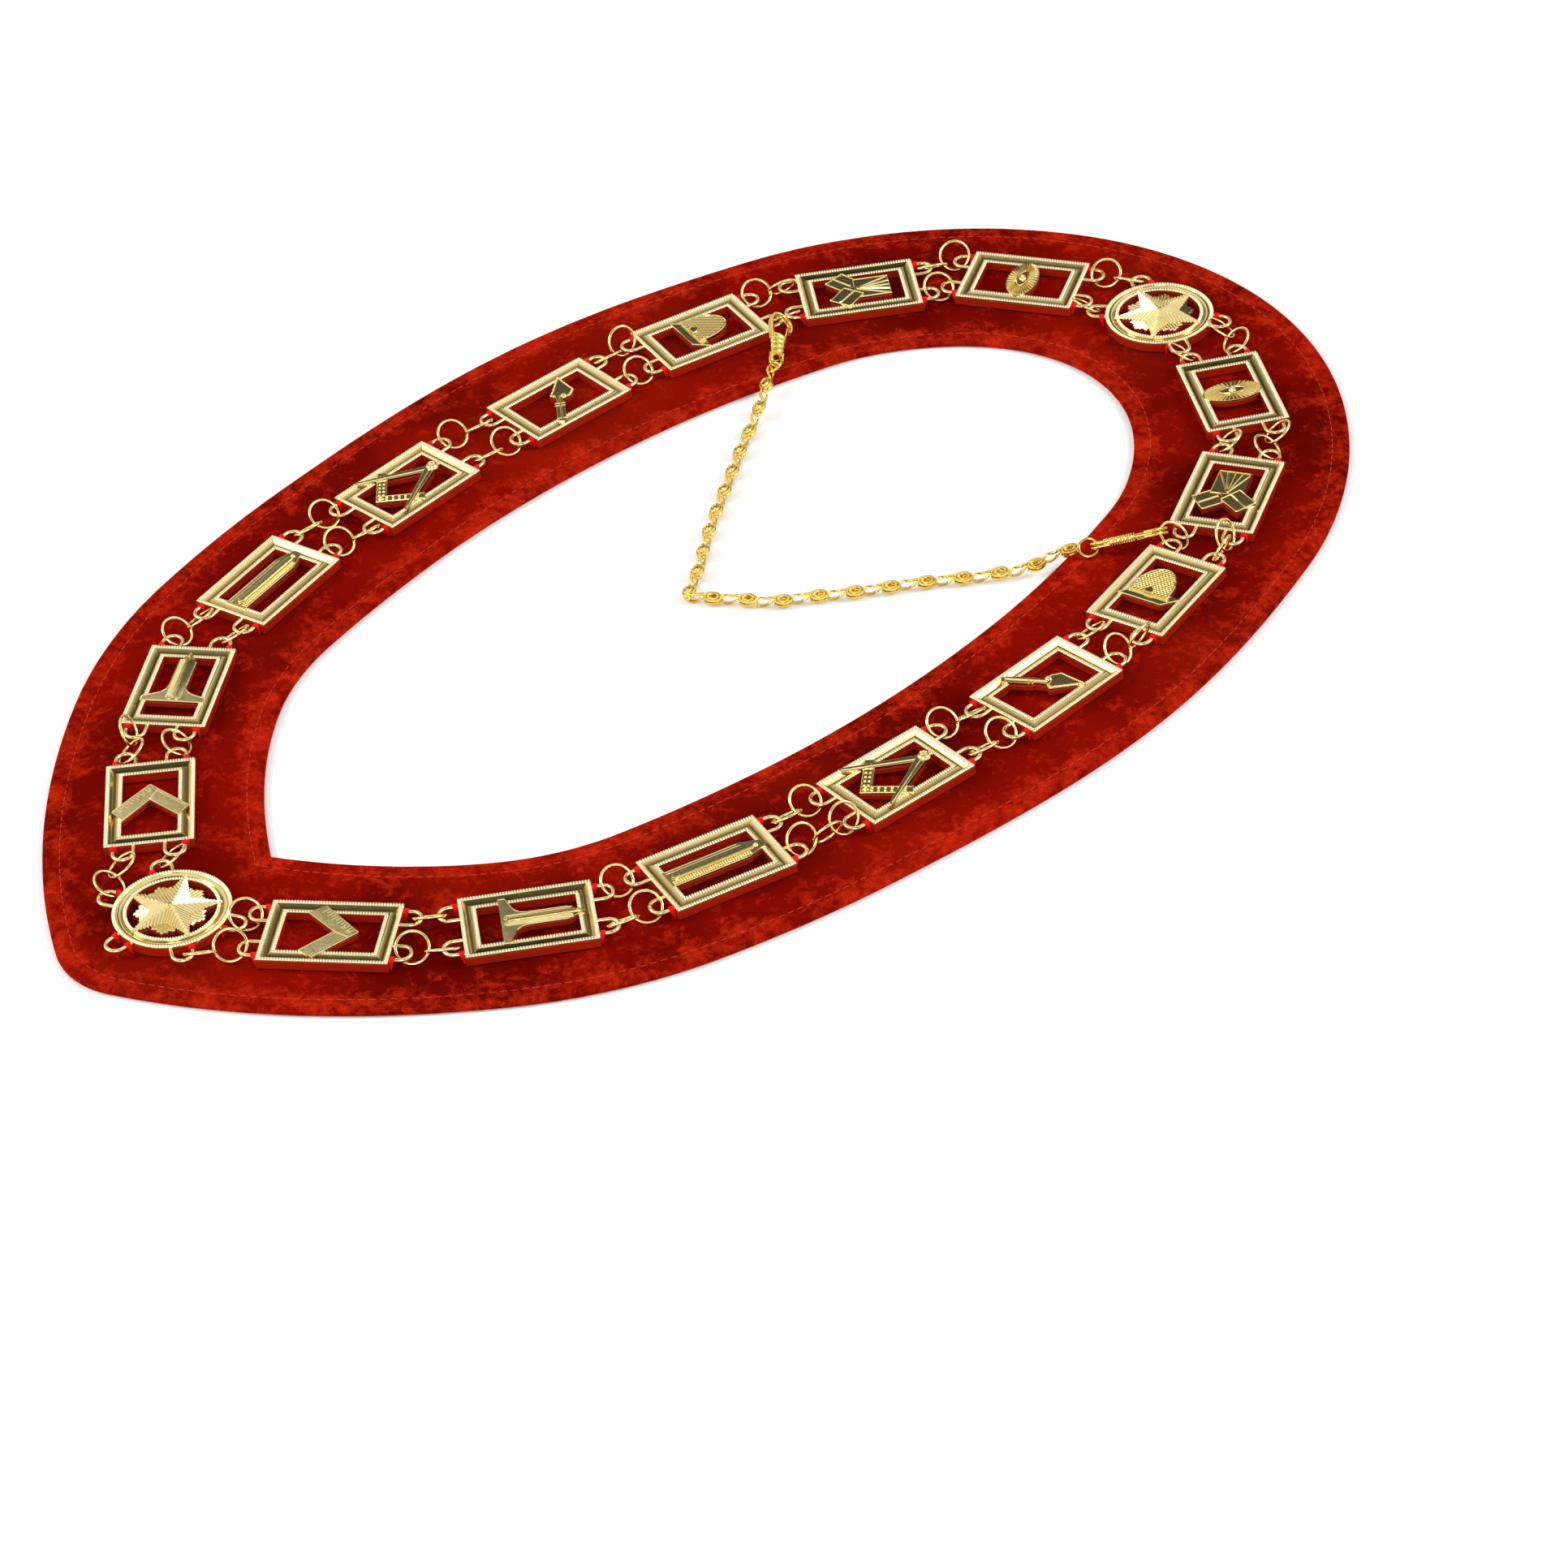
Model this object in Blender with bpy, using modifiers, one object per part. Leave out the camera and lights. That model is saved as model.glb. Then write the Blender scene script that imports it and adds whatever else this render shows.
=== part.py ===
# Masonic chain collar, lying flat: a velvet band with a V front, sixteen cast openwork
# plaques and two star roundels joined by jump rings, and a light chain across the neck
# opening that ends in two sprung hooks. Metres, +Z up, +Y towards the back of the neck.
# The origin is under the middle of the whole collar, on the surface it lies on.

from math import asin, atan2, ceil, cos, floor, pi, radians, sin, sqrt, tan

import bmesh
import bpy
import numpy as np
from mathutils import Matrix, Vector

# Velvet band
CENTRE_LENGTH = 0.469      # front corner to the back of the neck, along the middle
BAND_WIDTH = 0.078
VELVET_THICKNESS = 0.0030
FRONT_LEAN = 62.9          # degrees between the band and the collar's axis at the front
TIP_ROUNDING = 0.032
EDGE_STEPS = 22            # lengths in each half of an edge
TIP_STEPS = 4
# Arcs of the middle line from the front corner. A last arc closes it square to the axis.
# radius as a share of CENTRE_LENGTH, turn in degrees
MIDDLE_ARCS = [(0.586, 24.5), (0.305, 23.5), (1.009, 32.0)]
# share of the run, reach inwards and reach outwards as shares of BAND_WIDTH
EDGE_REACH = [
    (0.0, 0.513, 0.487),
    (0.2, 0.481, 0.468),
    (0.4, 0.500, 0.487),
    (0.6, 0.506, 0.538),
    (0.8, 0.519, 0.487),
    (1.0, 0.455, 0.558),
]

# Cast plaques
GAP = 0.0003               # between neighbouring pieces
PLAQUE_LENGTH = 0.045
PLAQUE_WIDTH = 0.031
PLAQUE_HEIGHT = 0.0038
RIM_WIDTH = 0.0014         # beaded outer rim
INNER_RIM_WIDTH = 0.0013
CHANNEL_WIDTH = 0.0031     # V groove between the rims
CHANNEL_DEPTH = 0.0013
CHANNEL_RISE = 0.7         # up again to the inner rim, as a share of CHANNEL_DEPTH
FIGURE_FLOOR = 0.0012      # underside of the figures, above the frame's underside
FIGURE_TOP = 0.0041        # their upper side, above the frame's underside
RELIEF = 0.0005            # raised strips and layers on the figures

# Cast loops on plaques and roundels
LOOP_RADIUS = 0.0035
LOOP_WIRE = 0.00075        # radius
LOOP_REACH = 0.0033        # loop's centre beyond the frame
LOOP_ROW = 0.0089          # from a plaque's middle line to each row of loops
LOOP_HEIGHT = 0.0032       # above the velvet
LINK_STEPS = 10
WIRE_SIDES = 5

# Roundels
ROUNDEL_RADIUS = 0.0204
ROUNDEL_STEPS = 24
ROUNDEL_CHANNEL = 0.8      # their groove as a share of CHANNEL_WIDTH
ROUNDEL_DIP = 0.6          # and of CHANNEL_DEPTH
STAR_RADIUS = 0.0172
STAR_WAIST = 0.42          # inner corners as a share of STAR_RADIUS
STAR_CROWN = 0.0022
RAY_RADIUS = 0.0132
RAY_WIDTH = 0.0056
# Outline of a ray, x as a share of half RAY_WIDTH and y as a share of RAY_RADIUS
RAY = [(-1.0, 0.0), (1.0, 0.0), (1.0, 0.72), (0.55, 0.86), (0.0, 1.0), (-0.55, 0.86), (-1.0, 0.72)]
FRONT_ROUNDEL = (0.0017, 0.0025)   # sideways, and back from the front corner
BACK_ROUNDEL = (0.0020, 0.0046)    # sideways, and back from the end of the middle line
# Loops around each roundel: side, row, degrees anticlockwise from +X
FRONT_LOOPS = [("l", "inner", 151.0), ("l", "outer", 207.0), ("r", "inner", 25.5), ("r", "outer", 330.5)]
BACK_LOOPS = [("l", "inner", 215.5), ("l", "outer", 151.5), ("r", "inner", 333.5), ("r", "outer", 29.5)]
JEWEL_LOOP = 270.0

# Jump rings
RING_RADIUS = 0.0056
RING_WIRE = 0.0005         # radius
FLAT_CHORD = 0.955         # half chord on the row's line, as a share of the radius
STEEP_CHORD = 0.78
LONGEST_CHORD = 0.99
RING_BITE = 1.5            # how far neighbours in a row run into each other, in wire radii
STEEPEST = 68.0            # degrees
SLACK_IN = 0.0013          # ring's place in a loop, from the loop's centre to the gap
SLACK_OUT = 0.0015         # and from the loop's centre to the plaque

# Gaps before each plaque and after the last, as shares of the free length of a branch
GAP_SHARES = {
    "l": [0.088, 0.109, 0.114, 0.146, 0.154, 0.112, 0.107, 0.104, 0.066],
    "r": [0.088, 0.112, 0.117, 0.154, 0.132, 0.103, 0.097, 0.103, 0.094],
}
# Rings in each of those gaps
INNER_RINGS = [1, 1, 1, 2, 2, 1, 1, 1, 1]
OUTER_RINGS = [2, 2, 2, 2, 2, 2, 2, 2, 2]
HOOK_GAP = 6               # the hooks hold the inner rings of this gap
# figure; then for the left and the right branch the shift outwards, as a share of
# PLAQUE_WIDTH, and the turn in degrees
PLAQUES = [
    ("set_square", (0.0, 1.0), (0.065, 0.0)),
    ("level", (0.0, 2.0), (0.0, -0.5)),
    ("plumb_rule", (0.0, 0.5), (-0.015, 1.0)),
    ("compasses", (-0.10, 0.0), (-0.03, -1.0)),
    ("trowel", (-0.11, 3.0), (0.05, 2.0)),
    ("beehive", (-0.03, 0.5), (0.05, -2.0)),
    ("crossed_tools", (-0.145, -3.5), (-0.05, 0.0)),
    ("eye", (-0.015, 3.0), (0.03, 1.0)),
]

# Outlines of the figures, x in hundredths of PLAQUE_WIDTH and y in 145ths of PLAQUE_LENGTH,
# +y towards the back
UNIT = PLAQUE_WIDTH / 100
LENGTH_UNIT = PLAQUE_LENGTH / 145
SET_SQUARE = [(0, 31), (-42, -12), (-30, -29), (0, 5), (33, -28), (43, -12)]
LEVEL = [
    (0, 62), (-7, 49), (-10, 44), (-10, -4), (-16, -14), (-37, -22), (-37, -30),
    (37, -30), (37, -22), (16, -14), (10, -4), (10, 44), (7, 49),
]
LEVEL_RIDGE = ((0, -22), (0, 50))
LEVEL_RIDGE_WIDTH = 5
PLUMB_RULE = [(-16, -58), (12, -58), (12, 35), (3, 60), (-7, 60), (-16, 35)]
PLUMB_STRIP = [(-5, -50), (1, -50), (1, 46), (-5, 46)]
COMPASS_LEG_LEFT = [(-6, 38), (6, 36), (-44, -42), (-48, -38)]
COMPASS_LEG_RIGHT = [(-6, 36), (6, 38), (39, -35), (36, -39)]
COMPASS_SQUARE = [(-2, -50), (39, -8), (30, 1), (-2, -32), (-34, 1), (-43, -8)]
COMPASS_HEAD = ((0, 41), 8)
TROWEL_BLADE = [(36, 27), (1, 25), (-6, 14), (-5, 1), (10, -6)]
TROWEL_HANDLE = [(1, 4), (-42, -24), (-39, -32), (5, -3)]
BEEHIVE = [(-28, -13), (-27, 6), (-19, 24), (-5, 34), (8, 25), (17, 8), (21, -13)]
SLAB = [(-37, -24), (18, -24), (35, -5), (21, -5), (18, -9), (-26, -9)]
BLOCK = [(-20, -5), (20, -5), (20, 39), (-20, 39)]
BLOCK_RIDGES = [((0, 2), (-15.6, 31.6)), ((0, 2), (0, 34)), ((0, 2), (15.6, 31.6))]
BLOCK_RIDGE_WIDTH = 4
CROSSED_LEFT = [(-38, -16), (-14, 4), (3, -18), (-20, -38)]
CROSSED_RIGHT = [(38, -16), (14, 4), (-3, -18), (21, -38)]
EYE_HALF_AXES = (36, 19)
EYE_STEPS = 12
EYE_LIDS = [(-22, 0), (-8, 7), (8, 7), (22, 0), (8, -7), (-8, -7)]
EYE_BALL = 4

# Sprung hooks: two wires side by side, a wound sleeve and a single-wire tongue
HOOK_LENGTH = 0.0281
HOOK_WIRE = 0.0010         # width of the two wires, in the hook's plane
HOOK_DEPTH = 0.0025        # across both of them
SLEEVE_DEPTH = 0.0032
TONGUE_WIRE = 0.0008
# Paths in hundredths of HOOK_LENGTH from the eye's outer bend, +x along the hook
EYE_BEND = [(19.6, 7.8), (9.6, 7.8), (4.3, 5.7), (1.8, 0), (4.3, -5.7), (9.6, -7.8), (19.6, -7.8)]
SLEEVE = [(17.8, 8.5), (17.8, -8.5), (58.7, -12.8), (58.7, 12.8)]
HOOK_BEND = [
    (56.9, 11.0), (73.0, 13.2), (89.0, 12.8), (96.8, 7.8), (98.2, 1.4), (94.7, -7.8),
    (88.3, -14.2), (80.4, -16.4), (69.8, -15.7),
]
TONGUE = [(56.9, -9.3), (79.4, -11.7)]
# How each hook lies on its ring, in degrees: turn from the row of rings, rise, roll, and the
# point of the ring that it holds. Then that point in the hook, in hundredths of HOOK_LENGTH.
HOOK_HOLDS = {
    "l": (57.3, 8.2, 34.2, 139.8, (91.5, 3.1)),
    "r": (-54.1, 8.7, -39.3, 123.5, (90.7, -3.0)),
}

# Light chain, a tube here. Its end rings pass through the hooks' eyes.
END_RING_RADIUS = 0.0034
END_RING_WIRE = 0.0005     # radius
END_RING_ROLLS = {"l": 31.0, "r": -35.0}
EYE_SLACK = 0.0010         # between an end ring's wire and the eye's bend, on the hook's axis
CHAIN_RADIUS = 0.0018
END_LIFT = 0.0008          # of the tube's ends above the velvet
# x, y and the height of the tube's underside above the floor
CHAIN_ROUTE = [
    (-0.0778, 0.1091, 0.0027), (-0.0688, 0.0964, 0.0001), (-0.0560, 0.0754, 0.0001),
    (-0.0420, 0.0552, 0.0001), (-0.0280, 0.0349, 0.0001), (-0.0127, 0.0156, 0.0001),
    (-0.0058, 0.0055, 0.0001), (-0.0034, 0.0021, 0.0001), (-0.0014, 0.0012, 0.0001),
    (0.0006, 0.0024, 0.0001), (0.0040, 0.0073, 0.0001), (0.0131, 0.0140, 0.0001),
    (0.0231, 0.0217, 0.0001), (0.0384, 0.0416, 0.0001), (0.0528, 0.0624, 0.0001),
    (0.0688, 0.0826, 0.0001), (0.0755, 0.0927, 0.0004), (0.0800, 0.1050, 0.0030),
]

SOLDER = 0.0007            # how far joined pieces run into each other
WELD = 1e-6

for old in list(bpy.data.objects):
    bpy.data.objects.remove(old, do_unlink=True)

collar = bpy.data.collections.new("masonic_chain_collar")
bpy.context.scene.collection.children.link(collar)


def material(name, colour, roughness, metallic):
    made = bpy.data.materials.new(name)
    made.use_nodes = True
    shader = made.node_tree.nodes["Principled BSDF"]
    shader.inputs["Base Color"].default_value = (*colour, 1.0)
    shader.inputs["Roughness"].default_value = roughness
    shader.inputs["Metallic"].default_value = metallic
    return made


def finish(body, name, finish_material):
    body.name = name
    body.data.name = name
    body.data.materials.clear()
    body.data.materials.append(finish_material)
    if body.name not in collar.objects:
        collar.objects.link(body)
    return body


def loose(name, data):
    # a working object, linked so that its modifiers are evaluated
    body = bpy.data.objects.new(name, data)
    bpy.context.scene.collection.objects.link(body)
    return body


def baked(body):
    # the evaluated mesh in world space as a new plain object; the old one goes
    bpy.context.view_layer.update()
    graph = bpy.context.evaluated_depsgraph_get()
    mesh = bpy.data.meshes.new_from_object(body.evaluated_get(graph))
    mesh.transform(body.matrix_world)
    shell = bmesh.new()
    shell.from_mesh(mesh)
    bmesh.ops.remove_doubles(shell, verts=shell.verts, dist=WELD)
    bmesh.ops.recalc_face_normals(shell, faces=shell.faces)
    shell.to_mesh(mesh)
    shell.free()
    bpy.data.objects.remove(body, do_unlink=True)
    return loose("baked", mesh)


def fused(body, pieces):
    for piece in pieces:
        join = body.modifiers.new("join", "BOOLEAN")
        join.operation = "UNION"
        join.solver = "EXACT"
        join.object = piece
    whole = baked(body)
    for piece in pieces:
        bpy.data.objects.remove(piece, do_unlink=True)
    return whole


def placed(body, matrix):
    body.data.transform(matrix)
    return body


# The middle line of the right branch, as arcs


def middle_arcs(scale):
    arcs = []
    point = np.array([0.0, 0.0])
    heading = radians(FRONT_LEAN)
    run = 0.0
    for share, turn in MIDDLE_ARCS:
        radius = share * scale
        centre = point + radius * np.array([-cos(heading), sin(heading)])
        arcs.append((run, radius, centre, heading))
        run += radius * radians(turn)
        heading -= radians(turn)
        point = centre + radius * np.array([cos(heading), -sin(heading)])
    radius = point[0] / cos(heading)
    centre = point + radius * np.array([-cos(heading), sin(heading)])
    arcs.append((run, radius, centre, heading))
    run += radius * (pi / 2 + heading)
    return arcs, run, centre[1] + radius


ARCS, RUN, BACK_END = middle_arcs(CENTRE_LENGTH / middle_arcs(1.0)[2])


def on_middle(run):
    # the point at this run from the front corner, and the heading from +Y towards +X
    start, radius, centre, heading = [arc for arc in ARCS if run >= arc[0] or arc is ARCS[0]][-1]
    heading -= (run - start) / radius
    return centre + radius * np.array([cos(heading), -sin(heading)]), heading


def edge_reach(share, column):
    for before, after in zip(EDGE_REACH, EDGE_REACH[1:]):
        if share <= after[0]:
            blend = (1 - cos(pi * (share - before[0]) / (after[0] - before[0]))) / 2
            return BAND_WIDTH * (before[column] * (1 - blend) + after[column] * blend)
    return BAND_WIDTH * EDGE_REACH[-1][column]


def half_edges():
    # the inner and outer edge of the right half, both from the axis at the front to the axis
    inner, outer = [], []
    for step in range(EDGE_STEPS + 1):
        share = step / EDGE_STEPS
        point, heading = on_middle(share * RUN)
        outward = np.array([cos(heading), -sin(heading)])
        inner.append(point - outward * edge_reach(share, 1))
        outer.append(point + outward * edge_reach(share, 2))
    while inner[1][0] <= 0:
        inner.pop(0)
    across = -inner[0][0] / (inner[1][0] - inner[0][0])
    inner[0] = inner[0] + across * (inner[1] - inner[0])
    lean = radians(FRONT_LEAN)
    turn = pi / 2 - lean
    apex = outer[0][1] - outer[0][0] / tan(lean)
    rounding = min(TIP_ROUNDING, 0.95 * outer[0][0] / sin(lean) / tan(turn))
    middle = apex + rounding / cos(turn)
    tip = []
    for step in range(TIP_STEPS + 1):
        angle = turn * step / TIP_STEPS
        tip.append(np.array([rounding * sin(angle), middle - rounding * cos(angle)]))
    return inner, tip + outer


INNER_EDGE, OUTER_EDGE = half_edges()
MIDDLE_Y = (OUTER_EDGE[0][1] + OUTER_EDGE[-1][1]) / 2
VELVET_TOP = VELVET_THICKNESS
PLAQUE_BOTTOM = VELVET_TOP + GAP
LOOP_LEVEL = VELVET_TOP + LOOP_HEIGHT
OPENING_INSET = RIM_WIDTH + CHANNEL_WIDTH + INNER_RIM_WIDTH


def outline_curve(name, loops, low, high):
    curve = bpy.data.curves.new(name, "CURVE")
    curve.dimensions = "2D"
    curve.fill_mode = "BOTH"
    curve.extrude = (high - low) / 2
    for points in loops:
        spline = curve.splines.new("POLY")
        spline.points.add(len(points) - 1)
        for corner, (x, y) in zip(spline.points, points):
            corner.co = (x, y, 0.0, 1.0)
        spline.use_cyclic_u = True
    body = loose(name, curve)
    body.location.z = (low + high) / 2
    return baked(body)


def velvet_collar():
    loops = []
    for half in (INNER_EDGE, OUTER_EDGE):
        right = [(p[0], p[1] - MIDDLE_Y) for p in half]
        left = [(-x, y) for x, y in right[-2:0:-1]]
        loops.append(right + left)
    return outline_curve("velvet", loops, 0.0, VELVET_THICKNESS)


# Pieces of the castings


def wire_ring(radius, wire, matrix):
    bpy.ops.mesh.primitive_torus_add(
        major_radius=radius, minor_radius=wire, major_segments=LINK_STEPS, minor_segments=WIRE_SIDES
    )
    body = bpy.context.object
    body.data.transform(matrix)
    return body


def cast_loop(place, facing):
    # an arch of wire whose legs run into the casting; facing is the way it stands out
    step = 2 * pi / LINK_STEPS
    shell = bmesh.new()
    start = Matrix.Rotation(-step / 2, 4, "Z") @ Matrix.Translation((LOOP_RADIUS, 0.0, 0.0))
    start = start @ Matrix.Rotation(pi / 2, 4, "X")
    bmesh.ops.create_circle(
        shell, cap_ends=True, segments=WIRE_SIDES, radius=LOOP_WIRE, matrix=start
    )
    first = list(shell.verts)
    turns = LINK_STEPS // 2 + 1
    spun = bmesh.ops.spin(
        shell, geom=list(shell.faces), cent=(0, 0, 0), axis=(0, 0, 1), angle=turns * step, steps=turns
    )
    last = [item for item in spun["geom_last"] if isinstance(item, bmesh.types.BMVert)]
    foot = LOOP_REACH + SOLDER
    for ends in (first, last):
        middle = sum(vert.co.y for vert in ends) / len(ends)
        for vert in ends:
            vert.co.y += -foot - middle
    bmesh.ops.recalc_face_normals(shell, faces=shell.faces)
    mesh = bpy.data.meshes.new("loop")
    shell.to_mesh(mesh)
    shell.free()
    mesh.transform(Matrix.Translation(place) @ Matrix.Rotation(facing - pi / 2, 4, "Z"))
    return loose("loop", mesh)


def frame_body():
    # a bar frame with a flat beaded rim, a V groove and an inner rim, cut through
    shell = bmesh.new()
    size = Matrix.Diagonal((PLAQUE_WIDTH, PLAQUE_LENGTH, PLAQUE_HEIGHT, 1.0))
    middle = Matrix.Translation((0.0, 0.0, PLAQUE_BOTTOM + PLAQUE_HEIGHT / 2))
    bmesh.ops.create_cube(shell, size=1.0, matrix=middle @ size)
    shell.normal_update()
    top = [face for face in shell.faces if face.normal.z > 0.9]
    bottom = [face for face in shell.faces if face.normal.z < -0.9]
    steps = [
        (RIM_WIDTH, 0.0),
        (CHANNEL_WIDTH / 2, -CHANNEL_DEPTH),
        (CHANNEL_WIDTH / 2, CHANNEL_DEPTH * CHANNEL_RISE),
        (INNER_RIM_WIDTH, 0.0),
    ]
    for width, rise in steps:
        bmesh.ops.inset_region(shell, faces=top, thickness=width, use_even_offset=True)
        bmesh.ops.translate(shell, verts=top[0].verts, vec=(0.0, 0.0, rise))
    bmesh.ops.inset_region(shell, faces=bottom, thickness=OPENING_INSET, use_even_offset=True)
    rims = [edge for face in top + bottom for edge in face.edges]
    bmesh.ops.delete(shell, geom=top + bottom, context="FACES_ONLY")
    bmesh.ops.bridge_loops(shell, edges=rims)
    mesh = bpy.data.meshes.new("frame")
    shell.to_mesh(mesh)
    shell.free()
    return loose("frame", mesh)


def plate(outline, rise=0.0, floor_height=None):
    # a flat figure cut to an outline; rise lifts its upper side for a layer of relief
    low = PLAQUE_BOTTOM + (FIGURE_FLOOR if floor_height is None else floor_height)
    high = PLAQUE_BOTTOM + FIGURE_TOP + rise
    points = [(x * UNIT, y * LENGTH_UNIT) for x, y in outline]
    return outline_curve("plate", [points], low, high)


def bar(start, end, width, rise):
    # a straight raised strip between two points of a figure
    direction = Vector(end) - Vector(start)
    side = Vector((-direction.y, direction.x)).normalized() * width / 2
    corners = [Vector(start) - side, Vector(end) - side, Vector(end) + side, Vector(start) + side]
    return plate([tuple(corner) for corner in corners], rise, FIGURE_TOP - RELIEF)


def ball(centre, radius, height):
    bpy.ops.mesh.primitive_uv_sphere_add(segments=6, ring_count=4, radius=radius)
    body = bpy.context.object
    body.data.transform(Matrix.Translation((centre[0], centre[1], height)))
    return body


def crowned(points_round, radius, waist, crown, low, high, turn=0.0, stretch=(1.0, 1.0)):
    # a star or an oval as a circle whose alternate points draw in, extruded and poked up
    shell = bmesh.new()
    made = bmesh.ops.create_circle(shell, cap_ends=True, segments=points_round, radius=radius)
    first = made["verts"][0].co
    start = atan2(first.y, first.x)
    for vert in made["verts"]:
        step = round((atan2(vert.co.y, vert.co.x) - start) * points_round / (2 * pi))
        if step % 2:
            vert.co *= waist
    bmesh.ops.scale(shell, verts=shell.verts, vec=(stretch[0], stretch[1], 1.0))
    bmesh.ops.rotate(shell, verts=shell.verts, matrix=Matrix.Rotation(radians(turn), 3, "Z"))
    bmesh.ops.translate(shell, verts=shell.verts, vec=(0.0, 0.0, low))
    raised = bmesh.ops.extrude_face_region(shell, geom=list(shell.faces))
    lifted = [item for item in raised["geom"] if isinstance(item, bmesh.types.BMVert)]
    bmesh.ops.translate(shell, verts=lifted, vec=(0.0, 0.0, high - low))
    top = [item for item in raised["geom"] if isinstance(item, bmesh.types.BMFace)]
    bmesh.ops.poke(shell, faces=top)
    peak = max(shell.verts, key=lambda vert: len(vert.link_edges))
    peak.co.z = high + crown
    bmesh.ops.recalc_face_normals(shell, faces=shell.faces)
    mesh = bpy.data.meshes.new("crowned")
    shell.to_mesh(mesh)
    shell.free()
    return loose("crowned", mesh)


# The figures


def figure_pieces(figure):
    top = PLAQUE_BOTTOM + FIGURE_TOP
    if figure == "set_square":
        return [plate(SET_SQUARE)]
    if figure == "level":
        return [plate(LEVEL), bar(*LEVEL_RIDGE, LEVEL_RIDGE_WIDTH, RELIEF)]
    if figure == "plumb_rule":
        return [plate(PLUMB_RULE), plate(PLUMB_STRIP, RELIEF, FIGURE_TOP - RELIEF)]
    if figure == "compasses":
        (x, y), radius = COMPASS_HEAD
        return [
            plate(COMPASS_SQUARE),
            plate(COMPASS_LEG_LEFT, RELIEF),
            plate(COMPASS_LEG_RIGHT, RELIEF * 1.5),
            ball((x * UNIT, y * LENGTH_UNIT), radius * UNIT, top - RELIEF),
        ]
    if figure == "trowel":
        return [plate(TROWEL_BLADE), plate(TROWEL_HANDLE, RELIEF)]
    if figure == "beehive":
        return [plate(SLAB), plate(BEEHIVE, 2 * RELIEF)]
    if figure == "crossed_tools":
        ridges = [bar(start, end, BLOCK_RIDGE_WIDTH, RELIEF) for start, end in BLOCK_RIDGES]
        return [plate(BLOCK), plate(CROSSED_LEFT, -RELIEF), plate(CROSSED_RIGHT, RELIEF)] + ridges
    low = PLAQUE_BOTTOM + FIGURE_FLOOR
    stretch = (1.0, EYE_HALF_AXES[1] / EYE_HALF_AXES[0])
    oval = crowned(EYE_STEPS, EYE_HALF_AXES[0] * UNIT, 1.0, 0.0, low, top, 0.0, stretch)
    return [
        oval,
        plate(EYE_LIDS, RELIEF, FIGURE_TOP - RELIEF),
        ball((0.0, 0.0), EYE_BALL * UNIT, top + RELIEF / 2),
    ]


def mirrored(body):
    body.data.transform(Matrix.Diagonal((-1.0, 1.0, 1.0, 1.0)))
    body.data.flip_normals()
    return body


def loop_centre(end, row):
    # in the plaque's own frame; end is -1 at the front and 1 at the back
    return Vector((row * LOOP_ROW, end * (PLAQUE_LENGTH / 2 + LOOP_REACH), LOOP_LEVEL))


def plaque(figure, side):
    pieces = figure_pieces(figure)
    if figure == "trowel" and side == "l":
        pieces = [mirrored(piece) for piece in pieces]
    for end in (-1, 1):
        for row in (-1, 1):
            pieces.append(cast_loop(loop_centre(end, row), end * pi / 2))
    return fused(frame_body(), pieces)


def roundel_frame():
    low = PLAQUE_BOTTOM
    high = PLAQUE_BOTTOM + PLAQUE_HEIGHT
    groove = ROUNDEL_RADIUS - RIM_WIDTH
    inner = groove - CHANNEL_WIDTH * ROUNDEL_CHANNEL
    profile = [
        (ROUNDEL_RADIUS, high),
        (ROUNDEL_RADIUS, low),
        (inner - INNER_RIM_WIDTH, low),
        (inner - INNER_RIM_WIDTH, high),
        (inner, high),
        ((groove + inner) / 2, high - CHANNEL_DEPTH * ROUNDEL_DIP),
        (groove, high),
    ]
    shell = bmesh.new()
    corners = [shell.verts.new((x, 0.0, z)) for x, z in profile]
    for here, there in zip(corners, corners[1:] + corners[:1]):
        shell.edges.new((here, there))
    mesh = bpy.data.meshes.new("roundel")
    shell.to_mesh(mesh)
    shell.free()
    body = loose("roundel", mesh)
    turn = body.modifiers.new("turn", "SCREW")
    turn.steps = ROUNDEL_STEPS
    turn.render_steps = ROUNDEL_STEPS
    turn.use_merge_vertices = True
    turn.merge_threshold = WELD
    return baked(body)


def roundel(star_turn, loop_angles):
    low = PLAQUE_BOTTOM + FIGURE_FLOOR
    top = PLAQUE_BOTTOM + FIGURE_TOP
    pieces = [crowned(10, STAR_RADIUS, STAR_WAIST, STAR_CROWN, low, top, star_turn)]
    for ray in range(5):
        angle = radians(star_turn + 36 + 72 * ray)
        middle = Matrix.Rotation(angle - pi / 2, 4, "Z")
        outline = [(x * RAY_WIDTH / 2, y * RAY_RADIUS) for x, y in RAY]
        pieces.append(placed(outline_curve("ray", [outline], low, top - 2 * RELIEF), middle))
    for angle in loop_angles:
        pieces.append(cast_loop(roundel_loop(angle), radians(angle)))
    return fused(roundel_frame(), pieces)


def roundel_loop(angle):
    reach = ROUNDEL_RADIUS + LOOP_REACH
    return Vector((reach * cos(radians(angle)), reach * sin(radians(angle)), LOOP_LEVEL))


# Places along the two branches


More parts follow.
